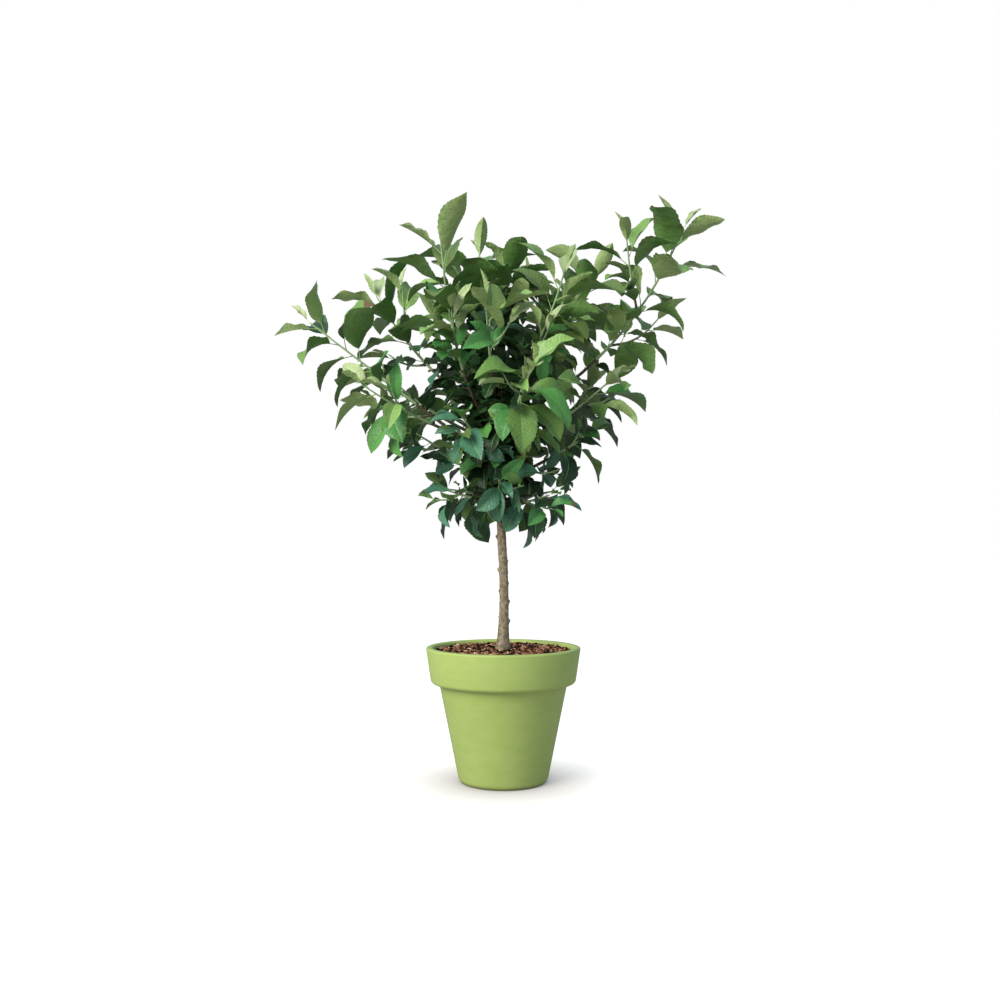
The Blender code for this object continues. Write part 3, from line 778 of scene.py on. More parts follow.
def add_node(owner, kind, inputs=None, **properties):
    """Adds a node to a material or world. An input takes a value, or another node's output."""
    made = owner.node_tree.nodes.new(kind)
    for name, value in properties.items():
        setattr(made, name, value)
    for name, value in (inputs or {}).items():
        if isinstance(value, bpy.types.NodeSocket):
            owner.node_tree.links.new(value, made.inputs[name])
        else:
            made.inputs[name].default_value = value
    return made


def new_material(name, colour, roughness, ior=1.5, specular=0.5):
    """(material, shader) of a plain finish, whose patterns are added after."""
    made = bpy.data.materials.new(name)
    made.use_nodes = True
    shader = made.node_tree.nodes["Principled BSDF"]
    shader.inputs["Base Color"].default_value = (*colour, 1)
    shader.inputs["Roughness"].default_value = roughness
    shader.inputs["IOR"].default_value = ior
    shader.inputs["Specular IOR Level"].default_value = specular
    return made, shader


def grain(material, size, detail=2.0, stretch=(1, 1, 1)):
    """A cloudy pattern with patches of this size in metres, fixed to the piece."""
    place = add_node(material, "ShaderNodeTexCoord").outputs["Object"]
    scaled = add_node(material, "ShaderNodeMapping", {"Vector": place, "Scale": stretch})
    return add_node(
        material,
        "ShaderNodeTexNoise",
        {"Vector": scaled.outputs["Vector"], "Scale": 1 / size, "Detail": detail},
    ).outputs["Fac"]


def ramp(material, factor, *stops):
    """Colours at places from 0 to 1, read by a factor."""
    made = add_node(material, "ShaderNodeValToRGB", {"Fac": factor})
    elements = made.color_ramp.elements
    while len(elements) < len(stops):
        elements.new(0.5)
    for element, (position, colour) in zip(elements, stops):
        element.position = position
        element.color = (*colour, 1)
    return made.outputs["Color"]


def roughen(material, shader, height, depth):
    """Gives a surface fine relief, depth metres deep."""
    bump = add_node(material, "ShaderNodeBump", {"Height": height, "Distance": depth, "Strength": 1.0})
    material.node_tree.links.new(bump.outputs["Normal"], shader.inputs["Normal"])


def moulded_polypropylene():
    """Polypropylene, injection moulded: matt, with a faint haze in patches of 20 to 40 mm."""
    colours = settings("pot")
    made, shader = new_material(
        "moulded_polypropylene", colours.colour, roughness=0.52, ior=1.49, specular=0.35
    )
    haze = grain(made, size=0.030, detail=4.0, stretch=(1, 1, 2.2))
    colour = ramp(made, haze, (0.30, colours.colour), (0.72, colours.haze))
    made.node_tree.links.new(colour, shader.inputs["Base Color"])
    # The mould's fine orange peel, in dimples of about a millimetre.
    roughen(made, shader, grain(made, size=0.0012), depth=0.00003)
    return made


def damp_compost():
    """Peat-free compost, sieved and damp: nearly black crumbs of 1 to 2 mm."""
    colours = settings("mulch")
    made, shader = new_material("damp_compost", colours.compost, roughness=0.95, specular=0.1)
    crumbs = grain(made, size=0.0016, detail=4.0)
    colour = ramp(made, crumbs, (0.35, colours.compost), (0.75, colours.dark_chip))
    made.node_tree.links.new(colour, shader.inputs["Base Color"])
    roughen(made, shader, crumbs, depth=0.0008)
    return made


def chipped_bark(name, colour):
    """Pine bark, chipped and screened: dull, with ragged fibres under a millimetre wide."""
    made, shader = new_material(name, colour, roughness=0.9, specular=0.12)
    roughen(made, shader, grain(made, size=0.0008, detail=3.0), depth=0.0004)
    return made


def young_bark():
    """Apple bark of a few years, smooth and dry, with pale skin, olive patches and dark pores."""
    colours = settings("bark")
    made, shader = new_material("young_apple_bark", colours.trunk, roughness=0.82)
    patches = ramp(
        made,
        grain(made, size=0.0052, detail=6.0, stretch=(1, 1, 0.9)),
        (0.38, colours.trunk_olive),
        (0.50, colours.trunk),
        (0.63, colours.trunk_pale),
    )
    # Lenticels: pores that lie across the stem, about 1 mm high and 2 to 3 mm wide.
    place = add_node(made, "ShaderNodeTexCoord").outputs["Object"]
    squashed = add_node(made, "ShaderNodeMapping", {"Vector": place, "Scale": (1, 1, 2.4)})
    pores = add_node(
        made,
        "ShaderNodeTexVoronoi",
        {"Vector": squashed.outputs["Vector"], "Scale": 1 / 0.0058, "Randomness": 1.0},
    )
    inside = add_node(
        made,
        "ShaderNodeMapRange",
        {"Value": pores.outputs["Distance"], "From Min": 0.10, "From Max": 0.22},
    )
    # Inputs 6 and 7 are the two colours.
    mixed = add_node(
        made,
        "ShaderNodeMix",
        {0: inside.outputs["Result"], 6: (*colours.bough, 1), 7: patches},
        data_type="RGBA",
    )
    made.node_tree.links.new(mixed.outputs[2], shader.inputs["Base Color"])
    roughen(made, shader, grain(made, size=0.0022, detail=4.0, stretch=(1, 1, 1.6)), depth=0.0009)
    return made


def bough_bark():
    """Apple bark of one to three years: dark olive brown, thin, faintly wrinkled along the limb."""
    colours = settings("bark")
    made, shader = new_material("dark_bough_bark", colours.bough, roughness=0.75)
    wrinkles = grain(made, size=0.0022, detail=4.0)
    colour = ramp(made, wrinkles, (0.35, colours.bough), (0.8, colours.trunk_olive))
    made.node_tree.links.new(colour, shader.inputs["Base Color"])
    roughen(made, shader, wrinkles, depth=0.0004)
    return made


def green_tissue(name, colour, roughness, dimple):
    """Green bark or stalk: downy cells, drawn as dimples of a size in metres."""
    made, shader = new_material(name, colour, roughness, ior=1.45, specular=0.35)
    roughen(made, shader, grain(made, dimple), dimple * DIMPLE_DEPTH)
    return made


# Modelling

# Edges sharper than these angles, in degrees, stay hard.
POT_CREASE = 30
FILL_CREASE = 60
CHIP_CREASE = 20
BARK_CREASE = 50
LEAF_CREASE = 75
# How near a corner has to be to the ring that it is selected for.
NEAR = 1e-4


def begin(name, add, **sizes):
    """Adds a primitive with nothing else selected, and names it."""
    bpy.ops.object.select_all(action="DESELECT")
    add(**sizes)
    bpy.context.object.name = name
    bpy.context.object.data.name = name
    return bpy.context.object


def raise_ring(centre, radius, to_centre, to_radius):
    """Extrudes the selected ring to a new centre and radius."""
    step = Vector(to_centre) - Vector(centre)
    bpy.ops.mesh.extrude_region_move(TRANSFORM_OT_translate={"value": step})
    size = to_radius / radius
    bpy.ops.transform.resize(value=(size, size, 1.0), center_override=tuple(to_centre))


def draw_up(profile):
    """Extrudes the selected disc through (radius, height) points."""
    for (radius, z), (to_radius, to_z) in zip(profile, profile[1:]):
        raise_ring((0, 0, z), radius, (0, 0, to_z), to_radius)


def select_ring(piece, radius, z):
    """Selects the edges of the level ring at this radius and height."""
    bpy.ops.mesh.select_mode(type="EDGE")
    bpy.ops.mesh.select_all(action="DESELECT")
    shape = bmesh.from_edit_mesh(piece.data)
    offset = piece.location.z
    for edge in shape.edges:
        corners = [vert.co for vert in edge.verts]
        level = all(abs(corner.z + offset - z) < NEAR for corner in corners)
        if level and all(abs(corner.xy.length - radius) < NEAR for corner in corners):
            edge.select = True
    bmesh.update_edit_mesh(piece.data)


def settle(piece, nodes, materials):
    """Puts a finished piece on the frame with its materials, in place of its solids."""
    for made in materials:
        piece.data.materials.append(made)
    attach(piece, "root")
    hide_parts(*nodes)


def close_up():
    """Turns all faces outwards, leaves edit mode and moves the piece's place into its mesh."""
    bpy.ops.mesh.select_all(action="SELECT")
    bpy.ops.mesh.normals_make_consistent(inside=False)
    bpy.ops.object.mode_set(mode="OBJECT")
    bpy.ops.object.transform_apply(location=True, rotation=True, scale=True)


def smooth(crease):
    """Shades the active piece smooth but for edges sharper than crease degrees."""
    bpy.ops.object.shade_smooth_by_angle(angle=math.radians(crease))


def apply_modifiers(piece):
    """Applies a piece's modifiers in order."""
    for modifier in list(piece.modifiers):
        bpy.ops.object.modifier_apply(modifier=modifier.name)


class Gathering:
    """Many small shapes that become one mesh."""

    def __init__(self):
        """Nothing is gathered yet."""
        self.points = []
        self.faces = []
        self.finishes = []
        self.count = 0

    def add(self, points, faces, finishes):
        """Adds a shape. finishes is the material's number for each face, or for all of them."""
        if isinstance(finishes, int):
            finishes = [finishes] * len(faces)
        self.points.append(np.asarray(points, float).reshape(-1, 3))
        self.faces += [tuple(self.count + corner for corner in face) for face in faces]
        self.finishes += finishes
        self.count += len(points)

    def piece(self, name, crease):
        """The gathered shapes as one object, smooth but for edges sharper than crease degrees."""
        mesh = bpy.data.meshes.new(name)
        mesh.from_pydata(np.concatenate(self.points).tolist(), [], self.faces)
        mesh.polygons.foreach_set("material_index", self.finishes)
        mesh.shade_smooth()
        mesh.set_sharp_from_angle(angle=math.radians(crease))
        made = bpy.data.objects.new(name, mesh)
        bpy.context.scene.collection.objects.link(made)
        return made


# Pot and fill

POT_SIDES = 160
FLOOR_THICKNESS = 0.006
INNER_FOOT_RADIUS = 0.0635
FOOT_ROUND = 0.008
COLLAR_ROUND = 0.006
NECK_ROUND = 0.0015
LIP_ROUND = 0.0035


def inner_radius(z):
    """The pot's inner wall, a plain cone."""
    pot = settings("pot")
    share = (z - FLOOR_THICKNESS) / (pot.height - FLOOR_THICKNESS)
    return mix(INNER_FOOT_RADIUS, pot.rim_radius - pot.lip_width, share)


class PATIOTREE_OT_pot(bpy.types.Operator):
    """Moulds the collared pot: its wall is drawn up from the foot, over the lip and down inside"""

    bl_idname = "patio_tree.pot"
    bl_label = "Pot"

    def execute(self, context):
        pot = settings("pot")
        collar_foot = pot.height - pot.collar_depth
        inside = pot.rim_radius - pot.lip_width
        profile = [
            (pot.foot_radius, 0.0),
            (pot.neck_radius, collar_foot),
            (pot.collar_foot_radius, collar_foot),
            (pot.rim_radius, pot.height),
            (inside, pot.height),
            (INNER_FOOT_RADIUS, FLOOR_THICKNESS),
        ]
        piece = begin(
            "patio_pot",
            bpy.ops.mesh.primitive_circle_add,
            vertices=POT_SIDES,
            radius=pot.foot_radius,
            fill_type="NGON",
        )
        bpy.ops.object.mode_set(mode="EDIT")
        draw_up(profile)
        # Each ring to round off: (radius, height, size, faces).
        rounds = (
            (pot.foot_radius, 0.0, FOOT_ROUND, 8),
            (pot.collar_foot_radius, collar_foot, COLLAR_ROUND, 6),
            (pot.neck_radius, collar_foot, NECK_ROUND, 3),
            (pot.rim_radius, pot.height, LIP_ROUND, 6),
            (inside, pot.height, LIP_ROUND, 6),
        )
        for radius, z, size, faces in rounds:
            select_ring(piece, radius, z)
            bpy.ops.mesh.bevel(offset=size, segments=faces, affect="EDGES")
        close_up()
        smooth(POT_CREASE)
        settle(piece, ["pot"], [moulded_polypropylene()])
        return {"FINISHED"}


FILL_SIDES = 96
FILL_INSETS = 14
FILL_RELIEF = 0.0012
FILL_LUMP = 0.006


class PATIOTREE_OT_fill(bpy.types.Operator):
    """Fills the pot with compost: a plug whose top is inset ring by ring and left uneven"""

    bl_idname = "patio_tree.fill"
    bl_label = "Compost"

    def execute(self, context):
        top = settings("pot").height - settings("mulch").drop
        floor = FLOOR_THICKNESS + GAP
        radius = inner_radius(floor) - GAP
        piece = begin(
            "compost",
            bpy.ops.mesh.primitive_circle_add,
            vertices=FILL_SIDES,
            radius=radius,
            fill_type="NGON",
            location=(0, 0, floor),
        )
        wide = inner_radius(top) - GAP
        bpy.ops.object.mode_set(mode="EDIT")
        draw_up([(radius, floor), (wide, top)])
        for _ in range(FILL_INSETS):
            bpy.ops.mesh.inset(thickness=wide / (FILL_INSETS + 1), depth=0)
        close_up()
        for vert in piece.data.vertices:
            if vert.co.z > top - GAP and vert.co.xy.length < wide - GAP:
                vert.co.z += FILL_RELIEF * noise.noise(vert.co / FILL_LUMP)
        smooth(FILL_CREASE)
        settle(piece, ["mulch_fill"], [damp_compost()])
        return {"FINISHED"}


CHIP_FACES = ((0, 3, 2, 1), (4, 5, 6, 7), (0, 1, 5, 4), (1, 2, 6, 5), (2, 3, 7, 6), (3, 0, 4, 7))
# Chips are tilted by about this many degrees along themselves, and half as much across.
CHIP_TILT = 42
# A chip's length against the setting, half its width and half its thickness as shares of that, how
# far its corners are knocked in or out, and how high it lies over the compost.
CHIP_LENGTHS = (0.45, 1.1)
CHIP_HALF_WIDTHS = (0.16, 0.30)
CHIP_HALF_THICKNESSES = (0.08, 0.15)
CHIP_KNOCKS = (0.55, 1.15)
CHIP_RISE = (-0.0002, 0.0026)
# Chips past this share of the way to the wall rise only by this share.
WALL_SHARE = 0.97
RISE_AT_WALL = 0.5
# Chips lie in a spiral, each swung up to this far, and begin inside the trunk's skin.
CHIP_SWING = 0.3
TRUNK_SHARE = 0.9
# How many chips of a hundred are dark, red, tan and pale.
# The many dark chips are partly painted shade, for the shadowed gaps between chips.
CHIP_SHARES = (44, 30, 18, 8)


def bark_chip(rng, place, length):
    """(points, faces) of one broken chip: a wedge whose corners are knocked about."""
    half_width = length * rng.uniform(*CHIP_HALF_WIDTHS)
    half = np.array([length / 2, half_width, length * rng.uniform(*CHIP_HALF_THICKNESSES)])
    square = ((-1, -1), (1, -1), (1, 1), (-1, 1))
    corners = np.array([(x, y, z) for z in (-1, 1) for x, y in square], float)
    corners *= np.array([[rng.uniform(*CHIP_KNOCKS) for _ in range(3)] for _ in range(8)])
    turn = Matrix.Rotation(rng.uniform(0, 2 * math.pi), 3, "Z")
    tilt = Matrix.Rotation(math.radians(rng.gauss(0, CHIP_TILT)), 3, "X")
    roll = Matrix.Rotation(math.radians(rng.gauss(0, CHIP_TILT / 2)), 3, "Y")
    return (corners * half) @ np.array(turn @ tilt @ roll).T + np.array(place), CHIP_FACES


class PATIOTREE_OT_mulch(bpy.types.Operator):
    """Spreads broken bark chips over the compost, up to the pot's wall and round the trunk"""

    bl_idname = "patio_tree.mulch"
    bl_label = "Bark mulch"

    def execute(self, context):
        mulch = settings("mulch")
        rng = random.Random("mulch")
        top = settings("pot").height - mulch.drop
        wide = inner_radius(top) - mulch.chip_length * 0.5
        chips = Gathering()
        for k in range(mulch.chips):
            reach = wide * math.sqrt((k + 0.5) / mulch.chips)
            turn = k * LEAF_TURN + rng.uniform(-CHIP_SWING, CHIP_SWING)
            if reach < trunk_radius(TRUNK_FOOT) * TRUNK_SHARE:
                continue
            length = mulch.chip_length * rng.uniform(*CHIP_LENGTHS)
            rise = rng.uniform(*CHIP_RISE) * (1 if reach < wide * WALL_SHARE else RISE_AT_WALL)
            place = (reach * math.cos(turn), reach * math.sin(turn), top + rise)
            finish = rng.choices(range(4), CHIP_SHARES)[0]
            chips.add(*bark_chip(rng, place, length), finish)
        piece = chips.piece("bark_mulch", CHIP_CREASE)
        finishes = [
            chipped_bark(f"{tint}_bark_chip", getattr(mulch, f"{tint}_chip"))
            for tint in ("dark", "red", "tan", "pale")
        ]
        settle(piece, ["mulch_fill"], finishes)
        return {"FINISHED"}


# Trunk, boughs and shoots

BARK_SIDES = 28
BARK_RINGS = 180
KNOB_REACH = 0.0038
KNOB_LIFT = 0.5
RELIEF_SIZE = 0.0035
# The roots' ridges stand out by this share of the radius at the foot, and fade out upwards.
ROOTS = 4
ROOT_TURN = 0.7
ROOT_RIDGES = 0.10
ROOT_RIDGE_HEIGHT = 0.014

# Knobs of rubbed-off buds: (height above the mulch, azimuth, size against the usual one).
KNOBS = (
    (0.200, 352, 0.8),
    (0.182, 178, 1.4),
    (0.143, 4, 0.8),
    (0.130, 184, 1.6),
    (0.108, 350, 0.8),
    (0.096, 178, 1.1),
    (0.078, 6, 1.3),
    (0.053, 188, 0.8),
    (0.047, 354, 1.4),
    (0.160, 60, 1.1),
    (0.115, 120, 1.2),
    (0.070, 95, 1.0),
    (0.135, 262, 0.5),
    (0.088, 285, 0.5),
)
# Heights above the mulch of the ridges that bud scales leave round the stem.
SCALE_RIDGES = (0.010, 0.043, 0.076, 0.106, 0.126, 0.141, 0.180, 0.202, 0.231)
RIDGE_HEIGHT = 0.0006
RIDGE_WIDTH = 0.0014
RIDGE_SWAY = 0.0008


def push_out(piece, place, step, reach):
    """Pulls the surface out round the point nearest to a place, as with a soft selection."""
    bpy.ops.mesh.select_mode(type="VERT")
    bpy.ops.mesh.select_all(action="DESELECT")
    shape = bmesh.from_edit_mesh(piece.data)
    nearest = min(shape.verts, key=lambda vert: (piece.matrix_world @ vert.co - place).length)
    nearest.select = True
    bmesh.update_edit_mesh(piece.data)
    bpy.ops.transform.translate(
        value=step,
        use_proportional_edit=True,
        proportional_edit_falloff="SHARP",
        proportional_size=reach,
    )


class PATIOTREE_OT_trunk(bpy.types.Operator):
    """Grows the trunk ring by ring from its root flare, with bud knobs and bark relief"""

    bl_idname = "patio_tree.trunk"
    bl_label = "Trunk"

    def execute(self, context):
        bark = settings("bark")
        heights = [TRUNK_FOOT + TRUNK_LENGTH * k / BARK_RINGS for k in range(BARK_RINGS + 1)]
        rings = [(trunk_axis(z), trunk_radius(z)) for z in heights]
        piece = begin(
            "trunk_bark",
            bpy.ops.mesh.primitive_circle_add,
            vertices=BARK_SIDES,
            radius=rings[0][1],
            fill_type="NGON",
            location=rings[0][0],
        )
        bpy.ops.object.mode_set(mode="EDIT")
        for (centre, radius), (to_centre, to_radius) in zip(rings, rings[1:]):
            raise_ring(centre, radius, to_centre, to_radius)
        for up, azimuth, size in KNOBS:
            z = TRUNK_FOOT + up
            turn = math.radians(azimuth)
            out = Vector((math.cos(turn), math.sin(turn), KNOB_LIFT))
            place = trunk_axis(z) + Vector((out.x, out.y, 0)) * trunk_radius(z)
            push_out(piece, place, out * bark.knob * size, KNOB_REACH * size)
        close_up()
        for vert in piece.data.vertices:
            centre = trunk_axis(vert.co.z)
            out = (vert.co - centre).xy
            turn = math.atan2(out.y, out.x)
            ridge = ROOT_RIDGES * math.exp(-(vert.co.z - TRUNK_FOOT) / ROOT_RIDGE_HEIGHT)
            out *= 1 + ridge * math.cos(ROOTS * turn + ROOT_TURN)
            up = vert.co.z - TRUNK_FOOT + RIDGE_SWAY * math.sin(2 * turn)
            swell = sum(math.exp(-(((up - at) / RIDGE_WIDTH) ** 2)) for at in SCALE_RIDGES)
            out += out.normalized() * RIDGE_HEIGHT * swell
            vert.co.x = centre.x + out.x
            vert.co.y = centre.y + out.y
        rounding = piece.modifiers.new("rounding", "SUBSURF")
        rounding.levels = 1
        rounding.render_levels = 1
        texture = bpy.data.textures.new("bark_relief", "CLOUDS")
        texture.noise_scale = RELIEF_SIZE
        texture.noise_depth = 3
        relief = piece.modifiers.new("relief", "DISPLACE")
        relief.texture = texture
        relief.texture_coords = "LOCAL"
        relief.strength = bark.relief
        apply_modifiers(piece)
        bpy.data.textures.remove(texture)
        smooth(BARK_CREASE)
        settle(piece, ["trunk"], [young_bark()])
        return {"FINISHED"}


# Boughs have more rings and sides here than in the solids. The first rings are inside the trunk.
LIMB_RINGS = 16
LIMB_SIDES = 12
HIDDEN_RINGS = 2
COLLAR_SWELL = 0.5
COLLAR_SHARPNESS = 4
UNEVENNESS = 0.05
WRINKLE_SIZE = 0.004
WRINKLE_DEPTH = 0.0004

SHOOT_SIDES = 8
SHOOT_RINGS = 12
SHOOT_TIP = 0.75
# Rings of brown wood at the foot of a leading shoot and of a side twig.
BROWN_RINGS = (4, 2)


def smooth_line(points, rings):
    """Evenly spaced points on a smooth curve through these."""
    ends = [points[0] * 2 - points[1], *points, points[-1] * 2 - points[-2]]
    line = []
    for k in range(rings + 1):
        position = min(k * (len(points) - 1) / rings, len(points) - 1.0001)
        i = int(position)
        t = position - i
        a, b, c, d = ends[i : i + 4]
        square = a * 2 - b * 5 + c * 4 - d
        cube = b * 3 - a - c * 3 + d
        line.append((b * 2 + (c - a) * t + square * t**2 + cube * t**3) / 2)
    return line


class PATIOTREE_OT_boughs(bpy.types.Operator):
    """Grows the boughs out of the trunk, each with a collar at its foot and a wrinkled bark"""

    bl_idname = "patio_tree.boughs"
    bl_label = "Boughs"

    def execute(self, context):
        rng = random.Random("boughs")
        # Without a seed of its own, the noise vector differs from run to run.
        noise.seed_set(1)
        wood = Gathering()
        for limb in LIMBS:
            points, radii = bough_line(limb, LIMB_RINGS)
            wide = trunk_radius(limb.start)
            for k, point in enumerate(points):
                past = (point - points[0]).length / wide - 1
                radii[k] *= 1 + COLLAR_SWELL * math.exp(-(past**2) * COLLAR_SHARPNESS)
                radii[k] *= 1 + rng.uniform(-UNEVENNESS, UNEVENNESS)
            line = points[HIDDEN_RINGS:]
            skin, faces = tube(line, radii[HIDDEN_RINGS:], limb_across(limb), LIMB_SIDES)
            wrinkled = [p + noise.noise_vector(p / WRINKLE_SIZE) * WRINKLE_DEPTH for p in skin]
            wood.add(wrinkled, faces, 0)
        piece = wood.piece("bough_bark", BARK_CREASE)
        settle(piece, BOUGHS, [bough_bark()])
        return {"FINISHED"}


class PATIOTREE_OT_shoots(bpy.types.Operator):
    """Grows the shoots, brown at the foot and green above, the spurs and the leaves' stalks"""

    bl_idname = "patio_tree.shoots"
    bl_label = "Shoots and stalks"

    def execute(self, context):
        shoots = Gathering()
        for twig in crown().twigs:
            line = smooth_line(twig.points, SHOOT_RINGS)
            radii = tapered(twig.radii[0], twig.radii[-1] * SHOOT_TIP, SHOOT_RINGS)
            skin, faces = tube(line, radii, twig.across, SHOOT_SIDES)
            brown = BROWN_RINGS[0] if twig.sides == STEM_SIDES else BROWN_RINGS[1]
            finishes = [0] + [int(k // SHOOT_SIDES >= brown) for k in range(len(faces) - 2)] + [1]
            shoots.add(skin, faces, finishes)
        for twig in crown().spurs:
            shoots.add(*tube(twig.points, twig.radii, twig.across, SPUR_SIDES), 0)
        for grown in crown().leaves:
            shoots.add(*stalk(grown.leaf), 2)
        piece = shoots.piece("shoots_and_stalks", BARK_CREASE)
        bark = settings("bark")
        finishes = [
            bough_bark(),
            green_tissue("downy_green_shoot", bark.shoot, roughness=0.65, dimple=0.0008),
            green_tissue("leaf_stalk", bark.stalk, roughness=0.55, dimple=0.0008),
        ]
        settle(piece, MASSES, finishes)
        return {"FINISHED"}


# Leaves

# A stalk's radii against its usual one, which is a share of the leaf's length. It ends this far
# along, against the place where the blade begins.
STALK_RADIUS = 0.0085
STALK_TAPER = (1.3, 1.0, 0.85, 0.7)
STALK_END = 1.1
STALK_SIDES = 4
# A leaf's centre line leaves its twig turned up by the first share of its arch, and turns down by
# the second on its way to the tip.
ARCH_TURNS = (0.6, 2.2)
ARCH_POWER = 1.15
ARCH_STEPS = 40
BLADE_ROWS = 8
RIB_SHARE = 0.04
SHOULDER = 0.54
BLADE_THICKNESS = 0.0004
# A blade bulges between rib and margin and waves along its margins, by shares of its half width. It
# twists by about this many degrees.
BULGE = 0.10
TWIST = 16
WAVES = (1.1, 2.4)
WAVE_DEPTHS = (0.08, 0.26)
TOOTH = 0.027
# Side veins, the furrows along them, and the cockling of the whole blade.
VEIN_SPACING = 0.0075
VEIN_SLOPE = 0.65
VEIN_BEND = 18.0
VEIN_WANDER = 0.0022
QUILT_DEPTH = 0.00015
QUILT_SHAPE = 0.2
COCKLE_DEPTH = 0.0019
COCKLE_SIZE = 0.009
# Leaves at the crown's foot are this much broader than those at its top.
BROADER_AT_FOOT = 0.18

# The outline of half a blade: (share of its length, share of its half width).
OUTLINE = (
    (0.00, 0.06),
    (0.05, 0.30),
    (0.15, 0.64),
    (0.30, 0.92),
    (0.44, 1.00),
    (0.60, 0.93),
    (0.74, 0.72),
    (0.85, 0.45),
    (0.92, 0.24),
    (0.97, 0.09),
    (1.00, 0.00),
)


def blade_rows():
    """Where a blade's rows lie along it: closer at both ends, where its outline turns."""
    even = np.linspace(0, 1, BLADE_ROWS + 1)
    return even / 2 + (1 - np.cos(math.pi * even)) / 4


ROWS = blade_rows()
ROW_WIDTHS = np.interp(ROWS, *zip(*OUTLINE)) * (1 - TOOTH)
# Along the margin from one row to the next: a tooth, a notch and a tooth, each leaning forwards, as
# (share of the way, how far it stands out).
MARGIN = ((0.33, TOOTH), (0.50, -TOOTH), (0.83, TOOTH))


def leaf_line(leaf, shares):
    """(points, directions, normals) of a leaf's arched centre line at these shares of its length."""
    along, face, root = (np.array(v) for v in (leaf.along, leaf.face, leaf.root))
    fine = np.linspace(0, 1, ARCH_STEPS + 1)
    turns = leaf.arch * (ARCH_TURNS[0] - ARCH_TURNS[1] * fine**ARCH_POWER)
    ways = np.cos(turns)[:, None] * along + np.sin(turns)[:, None] * face
    steps = (ways[1:] + ways[:-1]) / 2 * leaf.length / ARCH_STEPS
    line = root + np.concatenate([np.zeros((1, 3)), np.cumsum(steps, axis=0)])
    points = np.stack([np.interp(shares, fine, line[:, axis]) for axis in range(3)], axis=1)
    turns = np.interp(shares, fine, turns)
    ways = np.cos(turns)[:, None] * along + np.sin(turns)[:, None] * face
    normals = np.cos(turns)[:, None] * face - np.sin(turns)[:, None] * along
    return points, ways, normals


def stalk(leaf):
    """(points, faces) of a leaf's stalk, from inside its twig to the foot of its blade."""
    shares = np.linspace(0, STALK_SHARE * STALK_END, len(STALK_TAPER))
    line = [Vector(point) for point in leaf_line(leaf, shares)[0]]
    radii = [leaf.length * STALK_RADIUS * size for size in STALK_TAPER]
    return tube(line, radii, leaf.along.cross(leaf.face), STALK_SIDES)


def cross_section(leaf, shares, widths, sweep):
    """A function from a share across a blade to its points at these shares of its length."""
    points, ways, normals = leaf_line(leaf, STALK_SHARE + (1 - STALK_SHARE) * shares)
    across = np.cross(ways, normals)
    twist = (sweep.twist * shares)[:, None]
    across, normals = (
        across * np.cos(twist) + normals * np.sin(twist),
        normals * np.cos(twist) - across * np.sin(twist),
    )
    half = leaf.width / 2 * widths

    def at(share):
        reach = abs(share)
        phase = sweep.phases[share > 0]
        wave = sweep.depth * np.sin(2 * math.pi * sweep.waves * shares + phase) * reach**2
        lift = half * (math.sin(leaf.fold) * reach + BULGE * (1 - (2 * reach - 1) ** 2) + wave)
        out = half * math.cos(leaf.fold) * share
        place = np.stack([half * share, shares * leaf.length, shares * 0], axis=1)
        return points + across * out[:, None] + normals * lift[:, None], place

    return at, points - normals * BLADE_THICKNESS


# How a blade twists and waves: (twist, how many waves, their depth, where they start on each side).
Sweep = namedtuple("Sweep", "twist waves depth phases")


# The parts of a blade that have a tint of their own. The tip takes up this many rows.
ABOVE, RIB, BELOW, TIP = range(4)
TIP_ROWS = 2


def blade(leaf, rng):
    """(points, faces, sides, places) of a blade, with each face's side and each point's place."""
    turn = 2 * math.pi
    sweep = Sweep(
        math.radians(rng.gauss(0, TWIST)),
        rng.uniform(*WAVES),
        rng.uniform(*WAVE_DEPTHS),
        (rng.uniform(0, turn), rng.uniform(0, turn)),
    )
    rows, below = cross_section(leaf, ROWS, ROW_WIDTHS, sweep)
    shares = (-1.0, -SHOULDER, -RIB_SHARE, RIB_SHARE, SHOULDER, 1.0)
    columns = [tuple(part[:-1] for part in rows(share)) for share in shares]
    columns.append((below[:-1], rows(0.0)[1][:-1]))
    margins = []
    for share, out in MARGIN:
        places = mix(ROWS[:-1], ROWS[1:], share)
        widths = np.interp(places, *zip(*OUTLINE)) * (1 + out)
        margins.append(cross_section(leaf, places, widths, sweep)[0])
    columns += [margin(edge) for edge in (-1.0, 1.0) for margin in margins]
    tip = [part[-1:] for part in rows(0.0)]
    points, places = (
        np.concatenate([np.stack([column[k] for column in columns], axis=1).reshape(-1, 3), tip[k]])
        for k in range(2)
    )
    return points, *blade_faces(), places


@cache
def blade_faces():
    """(faces, sides) of a blade whose rows hold six points above, one below and two margins."""
    width = 7 + 2 * len(MARGIN)
    tip = BLADE_ROWS * width
    faces = [(6, 5, 4, 3, 2, 1, 0)]
    sides = [RIB]
    for row in range(BLADE_ROWS):
        last = row == BLADE_ROWS - 1
        here = list(range(row * width, row * width + width))
        there = [tip] * width if last else [corner + width for corner in here]
        left, right = here[7 : 7 + len(MARGIN)], here[7 + len(MARGIN) :]
        above = TIP if row >= BLADE_ROWS - TIP_ROWS else ABOVE
        loops = (
            ((here[0], here[1], there[1], there[0], *reversed(left)), above),
            ((here[1], here[2], there[2], there[1]), above),
            ((here[2], here[3], there[3], there[2]), RIB),
            ((here[3], here[4], there[4], there[3]), above),
            ((here[4], here[5], *right, there[5], there[4]), above),
            ((here[5], here[6], there[6], there[5], *reversed(right)), BELOW),
            ((here[6], here[0], *left, there[0], there[6]), BELOW),
        )
        for loop, side in loops:
            faces.append(tuple(dict.fromkeys(loop)))
            sides.append(side)
    return faces, sides


